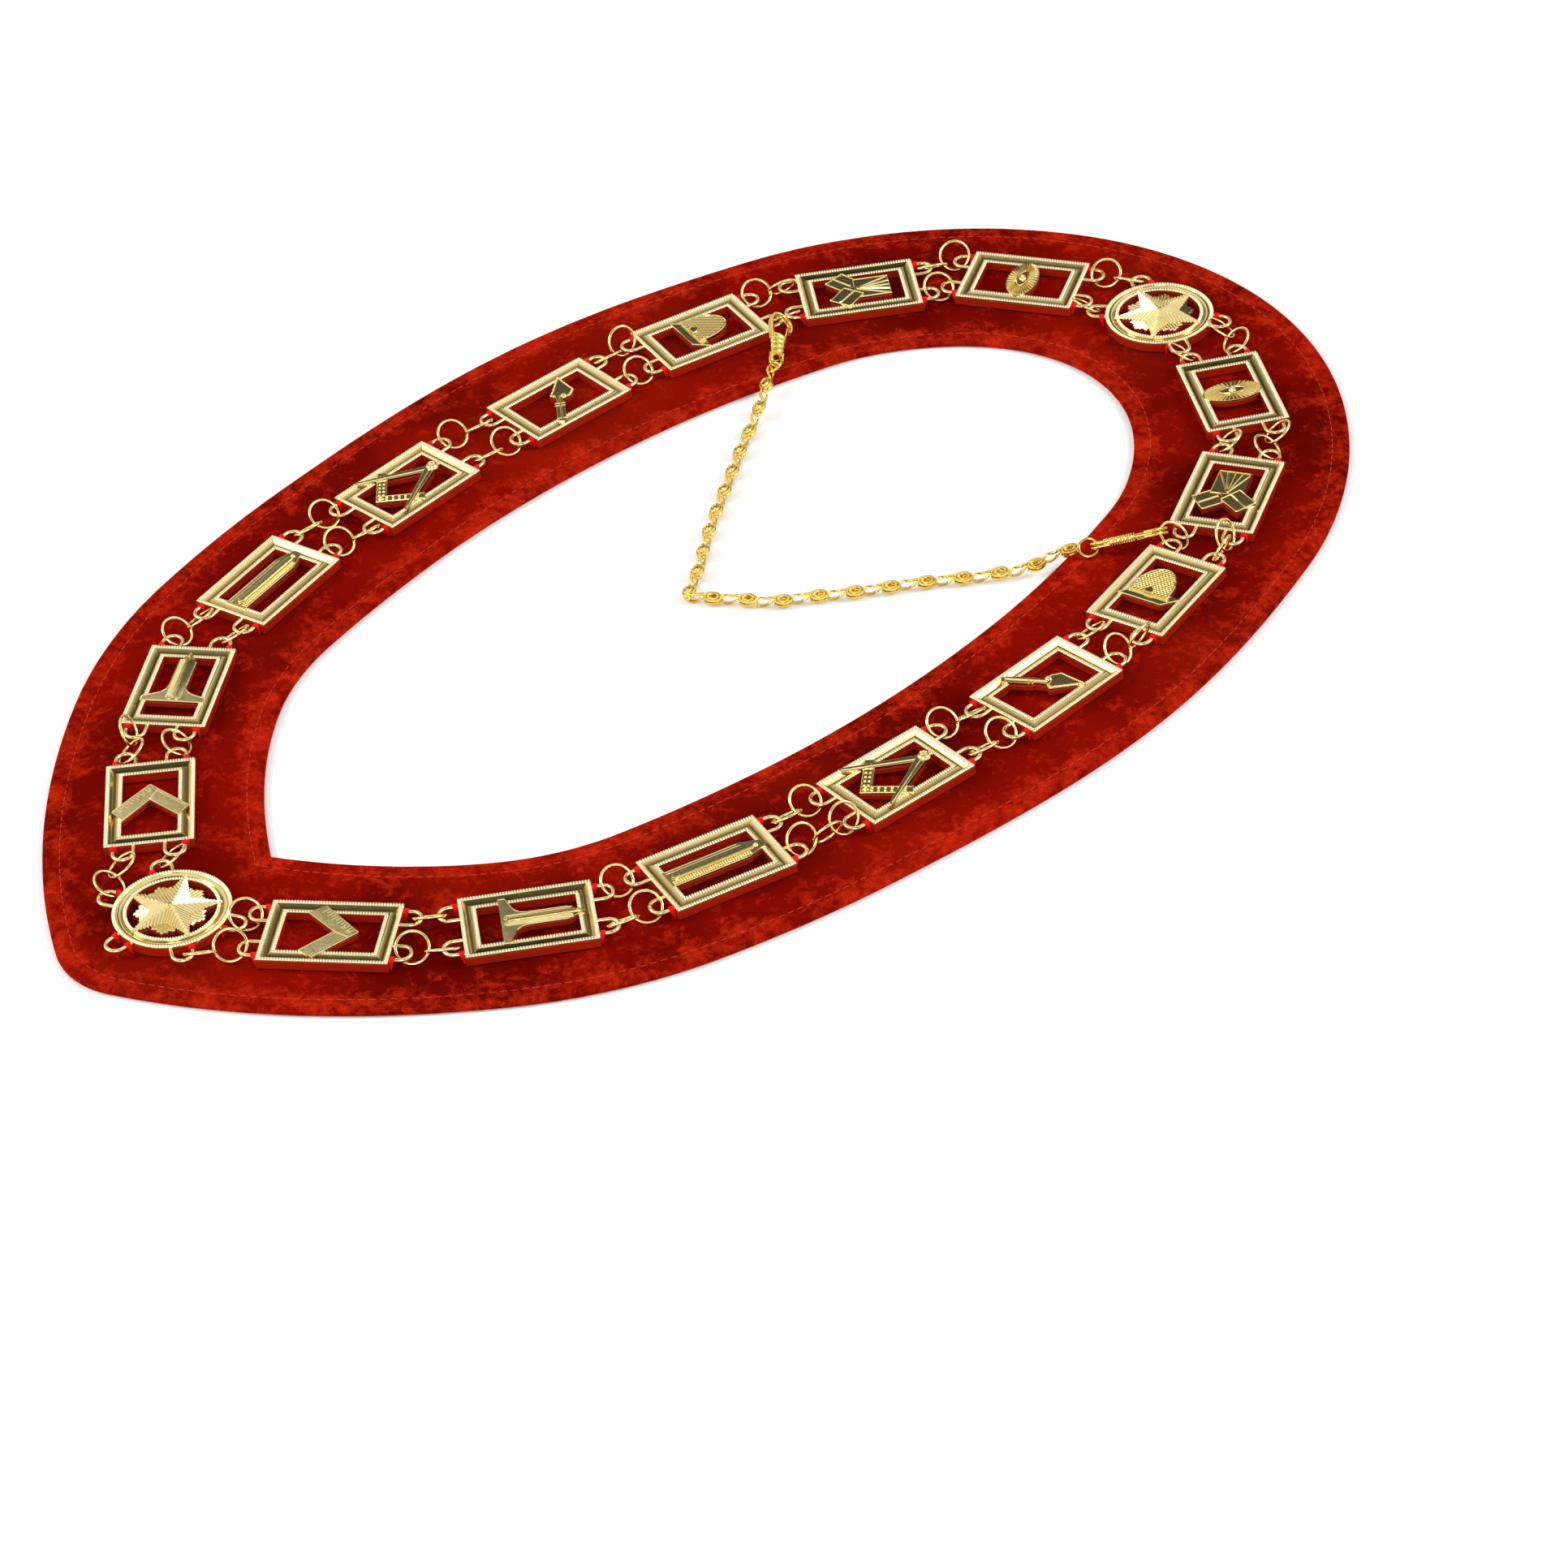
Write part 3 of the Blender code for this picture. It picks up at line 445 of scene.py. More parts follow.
def velvetMaterial():
    look = velvetLook
    made, tree, shader, place = newMaterial("crimsonVelvet", 0.85)
    near = nodeIn(tree, "ShaderNodeAttribute", attribute_name="edgeNear").outputs["Fac"]
    crush, streak, lay, fibre, broad = (
        noiseIn(tree, place, *look[name]) for name in ("crush", "streak", "lay", "fibre", "broad")
    )
    # bright blotches: partly the crushed pile's own pattern, partly painted sheen, with more painted sheen towards the
    # edges
    raised = plus(tree, crush, times(tree, rangeIn(tree, near, *look["edgeRange"]), look["edgeSheenLift"]))
    streaked = times(tree, mathIn(tree, "SUBTRACT", streak, 0.5), look["streakLift"])
    crushAndSheen = rangeIn(tree, plus(tree, raised, streaked), *look["crushAndSheenRange"])
    crushAndSheen = times(tree, crushAndSheen, rangeIn(tree, fibre, *look["crushAndSheenFibre"]))
    # darker patches: partly the pile's own tone, partly painted shade
    colour = mixIn(tree, rangeIn(tree, lay, *look["layShadeRange"]), look["pile"], look["deep"])
    # painted light: broad patches where the pile is brighter, as if lit more
    colour = mixIn(tree, rangeIn(tree, broad, *look["broadRange"]), colour, look["lit"])
    colour = mixIn(tree, crushAndSheen, colour, look["crushAndSheen"])
    colour = mixIn(tree, rangeIn(tree, fibre, *look["fibreRange"]), colour, look["deep"])
    streakHeight, fibreHeight = look["heights"]
    height = plus(tree, times(tree, streak, streakHeight), times(tree, fibre, fibreHeight))
    feed(tree, shader, {
        "Base Color": colour, "Roughness": rangeIn(tree, crush, *look["roughRange"]),
        "Normal": bumpIn(tree, plus(tree, height, crush), *look["bump"]), **look["shader"],
    })
    return made


threadLook = {
    "twist": {"Scale": 900.0, "Distortion": 1.5},
    "fuzz": (2400.0, 2.0, 0.6),
    "twistRange": (0.1, 0.9, 0.0, 0.45),
    "fuzzRange": (0.4, 0.8, 0.0, 0.3),
    "roughRange": (0.3, 0.7, 0.5, 0.75),
    "bump": (0.5, 0.0001),
}


def threadMaterial(name, colour, dark):
    look = threadLook
    made, tree, shader, place = newMaterial(name, 0.6)
    twist = nodeIn(
        tree, "ShaderNodeTexWave", {"Vector": place, **look["twist"]}, wave_type="BANDS", bands_direction="DIAGONAL"
    ).outputs["Fac"]
    fuzz = noiseIn(tree, place, *look["fuzz"])
    colour = mixIn(tree, rangeIn(tree, twist, *look["twistRange"]), colour, dark)
    feed(tree, shader, {
        "Base Color": mixIn(tree, rangeIn(tree, fuzz, *look["fuzzRange"]), colour, dark),
        "Roughness": rangeIn(tree, fuzz, *look["roughRange"]), "Specular IOR Level": 0.08,
        "Normal": bumpIn(tree, twist, *look["bump"]),
    })
    return made


# per finish: plate colour, the colour of the painted shade in low places and the heights where it is full and gone,
# polish, unevenness, bump; paleGold also the share and top of the painted velvet reflection on its sides
paleGold = plated("paleGold", (0.97, 0.79, 0.37), (0.50, 0.34, 0.09), 0.0054, 0.0068, 0.15, 0.08, 0.18, 0.55, 0.0068)
yellowGold = plated("yellowGold", (0.98, 0.79, 0.31), (0.66, 0.44, 0.11), 0.0015, 0.0045, 0.14, 0.06, 0.12)
chainGold = plated("chainGold", (0.96, 0.71, 0.18), (0.56, 0.36, 0.06), 0.0002, 0.0030, 0.16, 0.06, 0.12)
crimsonVelvet = velvetMaterial()
redThread = threadMaterial("redThread", (0.86, 0.012, 0.008), (0.42, 0.003, 0.002))
stitchThread = threadMaterial("stitchThread", (0.56, 0.050, 0.022), (0.34, 0.015, 0.006))
print("collar: materials made")


# Camera at the photograph's angle, and the light

viewing = {
    "place": (1.26890, -1.00159, 1.19629),
    "right": (0.67553, 0.73357, -0.07442),
    "up": (-0.41840, 0.46448, 0.78051),
    "forward": (-0.60713, 0.49612, -0.62070),
    "lens": 129.6,
    "sensor": 36.0,
    "clip": (0.05, 20.0),
}


def placeCamera():
    lens = bpy.data.cameras.new("photoCamera")
    lens.lens = viewing["lens"]
    lens.sensor_width = viewing["sensor"]
    lens.clip_start, lens.clip_end = viewing["clip"]
    camera = placed("photoCamera", lens)
    right, up, forward = (Vector(viewing[name]) for name in ("right", "up", "forward"))
    camera.matrix_world = shift(*viewing["place"]) @ Matrix((right, up, -forward)).transposed().to_4x4()
    bpy.context.scene.camera = camera


studio = {
    "floorSize": 6.0,
    "floorDrop": 0.00005,
    "floorWhite": (0.93, 0.93, 0.93),
    "floorGrey": (0.8, 0.8, 0.8),
    "floorShare": 0.02,
    # name, direction from the collar, distance, size, watts
    "lights": [
        ("leftBox", (-0.62, -0.78, 0.70), 2.2, 0.70, 17.0),
        ("rightBox", (0.72, 0.72, 0.70), 2.2, 0.70, 17.0),
        ("frontBox", (0.62, -0.62, 0.62), 2.4, 0.90, 17.0),
    ],
    "sky": 0.92,
    # dark flags round the tent: direction, its cosine at the soft and the full edge, how dark
    "flags": [
        ((0.34, -0.28, 0.90), 0.87, 0.94, 0.94),
        ((-0.613, 0.572, 0.545), 0.974, 0.988, 0.94),
        ((-0.19, 0.95, 0.07), 0.90, 0.96, 0.90),
        ((-1.0, 0.04, 0.07), 0.90, 0.96, 0.55),
    ],
}


def lightStudio():
    clearSelection()
    bpy.ops.mesh.primitive_plane_add(size=studio["floorSize"], location=(0, 0, -studio["floorDrop"]))
    floor = settled(bpy.context.object)
    floor.name = "studioFloor"
    made, tree, shader, place = newMaterial("studioFloor", 0.8)
    cloudy = rangeIn(tree, noiseIn(tree, place, 3.0), 0.0, 1.0, 0.0, studio["floorShare"])
    ground = mixIn(tree, cloudy, studio["floorWhite"], studio["floorGrey"])
    feed(tree, shader, {"Base Color": ground, "Specular IOR Level": 0.1})
    floor.data.materials.append(made)
    for name, direction, distance, size, watts in studio["lights"]:
        lamp = bpy.data.lights.new(name, "AREA")
        lamp.shape = "SQUARE"
        lamp.size = size
        lamp.energy = watts
        away = Vector(direction).normalized()
        aim = away.to_track_quat("Z", "Y").to_matrix().to_4x4()
        placed(name, lamp).matrix_world = Matrix.Translation(away * distance) @ aim
    world = bpy.data.worlds.new("studioSky")
    bpy.context.scene.world = world
    world.use_nodes = True
    tree = world.node_tree
    direction = nodeIn(tree, "ShaderNodeTexCoord").outputs["Generated"]
    level = studio["sky"]
    for toward, soft, full, dark in studio["flags"]:
        aim = nodeIn(
            tree, "ShaderNodeVectorMath", {0: direction, 1: Vector(toward).normalized()}, operation="DOT_PRODUCT"
        ).outputs["Value"]
        level = times(tree, rangeIn(tree, aim, soft, full, 1.0, 1.0 - dark), level)
    tree.links.new(level, tree.nodes["Background"].inputs["Color"])


placeCamera()
lightStudio()
print("collar: camera and light set")


# Castings: frames with beaded rims

plaqueShape = {
    "width": 31.0 * mm,
    "length": 45.0 * mm,
    "height": 3.8 * mm,
    "rim": 1.4 * mm,
    "channel": 3.1 * mm,
    "channelDepth": 1.3 * mm,
    "channelRise": 0.91 * mm,
    "innerRim": 1.3 * mm,
    "groove": (0.20, -0.10, 1.35, -1.20, 1.20, 0.85, 0.35, 0.06),   # width and rise in turn, mm
    "edge": 0.10 * mm,
    "beadPitch": 1.0 * mm,
    "beadLift": 0.05 * mm,
    "bead": (0.46 * mm, 0.74 * mm, 0.42 * mm),   # half sizes along the row, across it and up
    "figureLow": 4.5 * mm,
    "figureTop": 7.4 * mm,
    "figureEdge": 0.16 * mm,
}


def beadLine(start, end, level):
    # the beads from one corner of a rim to the next, the last corner left to the next side
    run = Vector(end) - Vector(start)
    count = round(run.length / plaqueShape["beadPitch"])
    turn = turned(atan2(run.y, run.x))
    return [copied(bead, shift(*(Vector(start) + run * step / count), level) @ turn) for step in range(count)]


def castFrame():
    shape = plaqueShape
    low = layout["castFloor"]
    high = low + shape["height"]
    clearSelection()
    bpy.ops.mesh.primitive_cube_add(
        size=1.0, location=(0, 0, (low + high) / 2), scale=(shape["width"], shape["length"], shape["height"])
    )
    body = settled(bpy.context.object)
    pick(body, "FACE", lambda face: face.normal.z > 0.9)
    bpy.ops.mesh.inset(thickness=shape["rim"], depth=0.0)
    for width, rise in zip(shape["groove"][::2], shape["groove"][1::2]):
        bpy.ops.mesh.inset(thickness=width * mm, depth=rise * mm)
    bpy.ops.mesh.inset(thickness=shape["innerRim"], depth=0.0)
    pick(body, "FACE", lambda face: face.normal.z < -0.9)
    bpy.ops.mesh.inset(thickness=shape["rim"] + shape["channel"] + shape["innerRim"], depth=0.0)
    pick(body, "FACE", lambda face: abs(face.normal.z) > 0.9 and hypot(face.center.x, face.center.y) < mm)
    bpy.ops.mesh.delete(type="ONLY_FACE")
    pickRims()
    bpy.ops.mesh.bridge_edge_loops()
    pieces = [marked(bevelled(editDone(body), shape["edge"]), "grooved")]
    inner = shape["rim"] + shape["channel"] + shape["innerRim"] / 2
    levels = (high + shape["beadLift"], high - shape["channelDepth"] + shape["channelRise"] + shape["beadLift"])
    for inset, level in zip((shape["rim"] / 2, inner), levels):
        x = shape["width"] / 2 - inset
        y = shape["length"] / 2 - inset
        corners = [(-x, -y), (x, -y), (x, y), (-x, y)]
        for start, end in zip(corners, corners[1:] + corners[:1]):
            pieces += beadLine(start, end, level)
    return joined(pieces, "castFrame")


castLoop = {"radius": 3.5 * mm, "wire": 0.75 * mm, "reach": 3.3 * mm, "row": 8.9 * mm, "foot": 0.6 * mm}


def loopMaster():
    # a half ring whose two legs run into the casting; it stands out along +Y from y = 0
    loop = torusPrimitive(castLoop["radius"], castLoop["wire"], 36, 12)
    pick(loop, "VERT", lambda vert: vert.co.y < -0.01 * mm)
    bpy.ops.mesh.delete(type="VERT")
    pickRims()
    away = -castLoop["reach"] - castLoop["foot"]
    bpy.ops.mesh.extrude_edges_move(TRANSFORM_OT_translate={"value": (0, away, 0)})
    bpy.ops.mesh.edge_face_add()
    editDone(loop)
    loop.data.transform(shift(0, castLoop["reach"]))
    return smoothed(loop, 50.0)


def plaqueMatrix(side, number):
    x, y, turn = layout[side][number]
    return shift(x * mm, y * mm) @ turned(radians(turn))


def roundelMatrix(end):
    return shift(layout[end][0] * mm, layout[end][1] * mm)


def plaqueLoops():
    # the four feet of a plaque's loops, each with the way it stands out
    return [
        shift(row * castLoop["row"], end * plaqueShape["length"] / 2, layout["loopLevel"])
        @ turned(0.0 if end > 0 else pi)
        for end in (-1, 1) for row in (-1, 1)
    ]


# The working tools in the plaques: x and y in hundredths of a plaque's width, +y towards the back,
# levels in mm over the figures' top

unit = plaqueShape["width"] / 100
top = plaqueShape["figureTop"]


def ridgeMaster():
    # a unit strip whose upper side narrows, for ticks, ribs and mouldings
    clearSelection()
    bpy.ops.mesh.primitive_cube_add(size=1.0, location=(0, 0, 0.5))
    ridge = settled(bpy.context.object)
    pick(ridge, "FACE", lambda face: face.normal.z > 0.9)
    bpy.ops.transform.resize(value=(0.92, 0.30, 1.0))
    return editDone(ridge)


bead = marked(spherePrimitive(8, 4, plaqueShape["bead"]), "milled")
ridgeShape = ridgeMaster()
studShape = spherePrimitive(12, 8)


def strip(start, end, width, level, height):
    # a ridge between two points
    first, last = Vector(start) * unit, Vector(end) * unit
    run = last - first
    middle = (first + last) / 2
    size = scaled(run.length, width * unit, height * mm)
    return copied(ridgeShape, shift(*middle, top + level * mm) @ turned(atan2(run.y, run.x)) @ size)


def strips(edges, width, level, height):
    return [strip(start, end, width, level, height) for start, end in edges]


def around(points, closed=True):
    return list(zip(points, points[1:] + points[:1] if closed else points[1:]))


def stud(x, y, radius, level, height, stretch=1.0, turn=0.0):
    size = scaled(radius * unit * stretch, radius * unit, height * mm)
    return copied(studShape, shift(x * unit, y * unit, top + level * mm) @ turned(radians(turn)) @ size)


def plate(outline, rise=0.0, low=None):
    base = plaqueShape["figureLow"] if low is None else top + low * mm
    points = [(x * unit, y * unit) for x, y in outline]
    return outlinePlate(points, base, top + rise * mm, plaqueShape["figureEdge"])


def ringlet(x, y, radius, level, thickness=0.55):
    points = [circlePoint(radius, 2 * pi * step / 8, x, y) for step in range(8)]
    path = [(x * unit, y * unit, top + level * mm) for x, y in points]
    return wire(path, thickness * unit, 1, 3, True)


def scroll(x, y, radius, turns, level, hand, start):
    path = []
    steps = int(turns * 10)
    for step in range(steps + 1):
        share = step / steps
        angle = radians(start) + hand * 2 * pi * turns * share
        spot = circlePoint(radius * (1.0 - 0.78 * share), angle, x, y)
        path.append((spot[0] * unit, spot[1] * unit, top + level * mm))
    return wire(path, 0.7 * unit, 1, 2)


def insideOutline(point, outline):
    inside = False
    for (x1, y1), (x2, y2) in around(outline):
        if (y1 > point[1]) != (y2 > point[1]):
            if point[0] < (x2 - x1) * (point[1] - y1) / (y2 - y1) + x1:
                inside = not inside
    return inside


def hatched(outline, angle, pitch, width, level, height, margin):
    # parallel strips across an outline, cut off at its edge
    along = Vector(circlePoint(1.0, radians(angle)))
    across = Vector((-along.y, along.x))
    spread = [Vector(point).dot(across) for point in outline]
    made = []
    row = min(spread) + pitch / 2
    while row < max(spread):
        kept = [
            step * 0.5 for step in range(-160, 161)
            if insideOutline(across * row + along * step * 0.5, outline)
        ]
        if kept and kept[-1] - kept[0] > 2 * margin + 1:
            first, last = (across * row + along * end for end in (kept[0] + margin, kept[-1] - margin))
            made.append(strip(first, last, width, level, height))
        row += pitch
    return made


def setSquare():
    outline = [(0, 31), (-42, -12), (-30, -29), (0, 5), (33, -28), (43, -12)]
    made = [plate(outline), strip((0, 5), (9, 22), 2.2, -0.1, 0.45)]
    # scales of ticks: corner, way along, way inward, first and pitch along, count, lengths, width
    for corner, along, inward, first, pitch, count, lengths, width in (
        ((0, 31), (-42, -43), (43, -42), 6, 4.3, 12, (6, 9), 1.3),
        ((9, 22), (34, -34), (-34, -34), 1.5, 3.1, 15, (3.2, 3.2), 1.1),
    ):
        along, inward = Vector(along).normalized(), Vector(inward).normalized()
        for step in range(count):
            start = Vector(corner) + along * (first + pitch * step) + inward * 0.8
            made.append(strip(start, start + inward * lengths[step % 2], width, -0.05, 0.22))
    made += [ringlet(-7, 14, 1.7, 0), ringlet(0, 20, 1.7, 0)]
    edges = [((0, 31), (-42, -12)), ((-30, -29), (0, 5)), ((0, 5), (33, -28)), ((43, -12), (0, 31))]
    return made + strips(edges, 1.4, -0.1, 0.25)


def levelFigure():
    side = [(10, 44), (10, 0), (12, -8), (17, -14), (26, -18), (37, -22), (37, -30)]
    outline = [(0, 62), (7, 49)] + side + [(-x, y) for x, y in side[::-1]] + [(-7, 49)]
    made = [plate(outline[::-1]), strip((0, -24), (0, 48), 19.0, -0.02, 0.42)]
    made += [strip((x, -22), (x * 0.6, 58), 1.8, 0.1, 0.65) for x in (-2.4, 2.4)]
    for start, end in around(side, False):
        mirrored = [((start[0] * hand, start[1]), (end[0] * hand, end[1])) for hand in (1, -1)]
        made += strips(mirrored, 1.5, -0.1, 0.3)
    made.append(strip((-37, -29.3), (37, -29.3), 1.5, -0.1, 0.3))
    made += [scroll(-4, -24, 2.8, 1.5, 0.15, 1, 90), scroll(4, -24, 2.8, 1.5, 0.15, -1, 90)]
    return made + [stud(0, 30, 2.2, 0, 0.4), stud(0, 54, 2.0, 0, 0.4)]


def plumbRule():
    outline = [(-16, -58), (12, -58), (12, 35), (3, 60), (-7, 60), (-16, 35)]
    made = [plate(outline), plate([(-5, -50), (1, -50), (1, 46), (-5, 46)], 0.5, -0.3)]
    for x in (5.0, 8.0):
        made.append(strip((x, -56), (x, 42), 1.2, -0.05, 0.25))
        made += [stud(x, -54 + 3.0 * step, 0.9, 0.15, 0.28, 1.4, 35) for step in range(32)]
    made += [strip((x, -57), (x, 35), 1.4, -0.1, 0.3) for x in (-14.6, 10.8)]
    made.append(strip((-11, -57), (-11, 38), 1.1, -0.05, 0.22))
    made.append(plate([(-2, -53.5), (2.5, -48), (-2, -42.5), (-6.5, -48)], 0.7, 0))
    return made + [stud(-2, 50, 3.0, 0, 0.6)]


def compassFigure():
    made = [plate([(-2, -50), (39, -8), (30, 1), (-2, -32), (-34, 1), (-43, -8)])]
    near = Vector((-2, -50))
    for hand, far in ((1, Vector((39, -8))), (-1, Vector((-43, -8)))):
        inside = Vector((-hand, 1)).normalized()
        for row in (4.0, 8.6):
            for step in range(7):
                spot = near + (far - near) * (0.10 + 0.125 * step) + inside * row
                made.append(stud(*spot, 1.5, 0, 0.45))
        for row, width in ((1.1, 1.5), (11.2, 1.3)):
            made.append(strip(near + inside * row, far + inside * row, width, -0.1, 0.3))
    made.append(plate([(-7, 38), (5.5, 36.5), (-43.5, -41), (-49, -41), (-48.5, -37)], 0.4))
    made.append(plate([(-5.5, 36.5), (7, 38), (39.5, -36.5), (40, -40.5), (36, -39.5)], 0.7))
    made += [strip((1, 37), (-46, -40), 2.0, 0.35, 0.35), strip((1, 37), (38, -37), 2.0, 0.65, 0.35)]
    return made + [stud(0, 41, 8.2, -0.2, 2.2), ringlet(0, 41, 5.0, 1.5, 0.8), stud(0, 50, 3.4, 0, 1.0)]


def trowelFigure():
    blade = [(36, 27), (1, 25), (-6, 14), (-5, 1), (10, -6)]
    handle = [
        (3, 6.5), (-9, -1), (-14, -2), (-41, -21), (-44, -27), (-38.5, -32), (-12, -14), (-9, -9), (5.5, -1.5),
    ]
    centre = Vector((9, 13))
    made = [plate(blade), plate([(31, 23.5), (2.5, 22.3), (-3.3, 13.3), (-2.5, 2.6), (9.2, -2.6)], 0.25, -0.1)]
    for start, end in around(blade):
        first, last = Vector(start), Vector(end)
        count = max(3, int((last - first).length / 2.4))
        for step in range(count):
            spot = first.lerp(last, (step + 0.5) / count)
            spot = spot + (centre - spot).normalized() * 1.5
            made.append(stud(*spot, 0.95, 0.05, 0.25))
    made += [plate(handle, 0.5), strip((2, 2), (-40, -26), 3.0, 0.4, 0.6)]
    bands = [((x - 3.6, y + 5.4), (x + 3.6, y - 5.4)) for x, y in ((-12.0, -7.6), (-16.0, -10.4), (-38.0, -25.2))]
    return made + strips(bands, 1.8, 0.45, 0.45) + [stud(-2, 6, 4.6, 0, 1.1)]


def beehiveFigure():
    dome = []
    for step in range(15):
        angle = pi * step / 14
        dome.append((-3.5 + 24.5 * cos(angle), -13 + 47 * sin(angle) ** 0.85))
    made = [plate([(-37, -24), (18, -24), (35, -5), (21, -5), (18, -9), (-26, -9)]), plate(dome, 0.9)]
    for angle in (52.0, 128.0):
        made += hatched(dome, angle, 3.5, 1.15, 0.85, 0.28, 0.6)
    made += strips(around(dome, False), 1.8, 0.8, 0.35)
    edges = [((-37, -23.2), (18, -23.2)), ((18, -24), (35, -5)), ((-36, -23), (-26, -9.5)), ((18, -10), (22, -5))]
    made += strips(edges, 1.5, -0.1, 0.35) + [strip((-30, -15), (20, -15), 1.2, -0.05, 0.25)]
    return made + [plate([(-9, -13), (2, -13), (1, -6), (-3.5, -3), (-8, -6)], 1.3, 0)]


def crossedTools():
    rays = [((0, -3), (x, 38)) for x in (-19, -9, 0, 9, 19)]
    block = [((-20, 38.2), (20, 38.2)), ((-19.2, -5), (-19.2, 39)), ((19.2, -5), (19.2, 39))]
    made = [plate([(-20, -5), (20, -5), (20, 39), (-20, 39)])]
    made += strips(rays, 2.6, -0.1, 0.5) + strips(block, 1.6, -0.1, 0.5)
    left, right = [(-38, -16), (-14, 4), (3, -18), (-20, -38)], [(38, -16), (14, 4), (-3, -18), (21, -38)]
    made += [plate(left, -0.3), plate(right, 0.4)]
    made += strips([(left[0], left[1]), (left[3], left[2]), (left[0], left[3])], 1.6, -0.4, 0.4)
    edges = [(right[0], right[1]), (right[3], right[2]), (right[0], right[3]), (right[2], right[1])]
    made += strips(edges, 1.6, 0.3, 0.4)
    return made + [strip((28, -27), (6, -6), 2.4, 0.35, 0.5), strip((-28, -27), (-8, -9), 2.4, -0.35, 0.5)]


def eyeFigure():
    made = [plate([(36 * cos(2 * pi * step / 48), 19 * sin(2 * pi * step / 48)) for step in range(48)])]
    for step in range(38):
        x, y = circlePoint(1.0, 2 * pi * step / 38)
        made.append(strip((16.0 * x, 7.0 * y), (34.6 * x, 18.0 * y), 2.0, -0.05, 0.5))
    lids = []
    for step in range(24):
        x, y = circlePoint(1.0, 2 * pi * step / 24)
        lids.append((16 * x, 6.4 * y * abs(y) ** 0.35))
    rim = [(x * unit, y * unit, top + 0.45 * mm) for x, y in lids]
    made += [plate(lids, 0.45, -0.2), wire(rim, 0.28 * mm, 1, 2, True)]
    return made + [stud(0, 0, 5.0, 0.3, 0.9), ringlet(0, 0, 3.2, 1.1, 0.6), stud(0, 0, 1.5, 1.2, 0.25)]


figures = {
    "set_square": setSquare, "level": levelFigure, "plumb_rule": plumbRule, "compasses": compassFigure,
    "trowel": trowelFigure, "beehive": beehiveFigure, "crossed_tools": crossedTools, "eye": eyeFigure,
}

loopShape = loopMaster()
frameShape = smoothed(castFrame(), 32.0)
frameShape = joined([frameShape] + [copied(loopShape, foot) for foot in plaqueLoops()], "plaqueFrame")
print("collar: plaque frame made")

for number, (figure, maker) in enumerate(figures.items()):
    figureShape = smoothed(joined(maker(), figure), 38.0)
    for side in "lr":
        turn = scaled(-1.0 if figure == "trowel" and side == "l" else 1.0, 1.0, 1.0)
        place = plaqueMatrix(side, number)
        cast = joined([copied(frameShape, place), copied(figureShape, place @ turn)], f"castPlaque_{side}{number + 1}")
        dress(squared(cast), paleGold, "pale_gold", f"plaque_{side}{number + 1}_{figure}")
    scrap(figureShape)
    print("collar: plaques with the", figure.replace("_", " "))


# Roundels: a beaded ring frame round a ribbed star over five blunt leaves

roundelShape = {
    "radius": 20.4 * mm,
    "channel": 2.48 * mm,
    "dip": 0.78 * mm,
    "ringEdge": 0.14 * mm,
    "starRadius": 17.2 * mm,
    "starWaist": 7.3 * mm,
    "starEdge": 7.2 * mm,      # height of the star's lower corners
    "tipLift": 0.15 * mm,
    "crown": 8.9 * mm,         # and of its middle
    "ribs": 10,                # on each facet of an arm, along the valley beside it
    "rib": (1.0 * mm, 0.42 * mm),   # width and height
    "leafReach": 13.2 * mm,
    "leafWidth": 6.6 * mm,
    "leafTop": 6.9 * mm,
    "leafEdge": 0.12 * mm,
    "ribSink": 0.04 * mm,
}


def ringFrame():
    shape = roundelShape
    low = layout["castFloor"]
    high = low + plaqueShape["height"]
    outer = shape["radius"]
    groove = outer - plaqueShape["rim"]
    inner = groove - shape["channel"]
    hole = inner - plaqueShape["innerRim"]
    profile = [(outer, low), (outer, high), (groove, high)]
    for inset, dip in ((0.15, 0.30), (0.75, 0.22), (1.35, 0.40)):
        profile.append((groove - inset * mm, high - dip * shape["dip"]))
    profile += [(inner + 0.60 * mm, high - shape["dip"]), (inner + 0.25 * mm, high - shape["dip"])]
    profile += [(inner, high), (hole, high), (hole, low)]
    body = circlePrimitive(len(profile), "NOTHING")
    for vert, (x, z) in zip(body.data.vertices, profile):
        vert.co = (x, 0.0, z)
    mode("EDIT")
    bpy.ops.mesh.select_all(action="SELECT")
    bpy.ops.mesh.spin(steps=96, angle=2 * pi, center=(0, 0, 0), axis=(0, 0, 1))
    editDone(body)
    smoothed(bevelled(body, shape["ringEdge"], 40.0), 35.0)
    pieces = [marked(body, "grooved")]
    for radius in (outer - plaqueShape["rim"] / 2, inner - plaqueShape["innerRim"] / 2):
        count = round(2 * pi * radius / plaqueShape["beadPitch"])
        spot = shift(radius, 0, high + plaqueShape["beadLift"]) @ turned(pi / 2)
        pieces += [copied(bead, turned(2 * pi * step / count) @ spot) for step in range(count)]
    return joined(pieces, "ringFrame")


def ribOn(first, last, width, height):
    # a rib lying on a sloping facet, between two points in space
    run = last - first
    turn = run.to_track_quat("X", "Z").to_matrix().to_4x4()
    middle = (first + last) / 2 - Vector((0, 0, roundelShape["ribSink"]))
    return copied(ridgeShape, Matrix.Translation(middle) @ turn @ scaled(run.length, width, height))


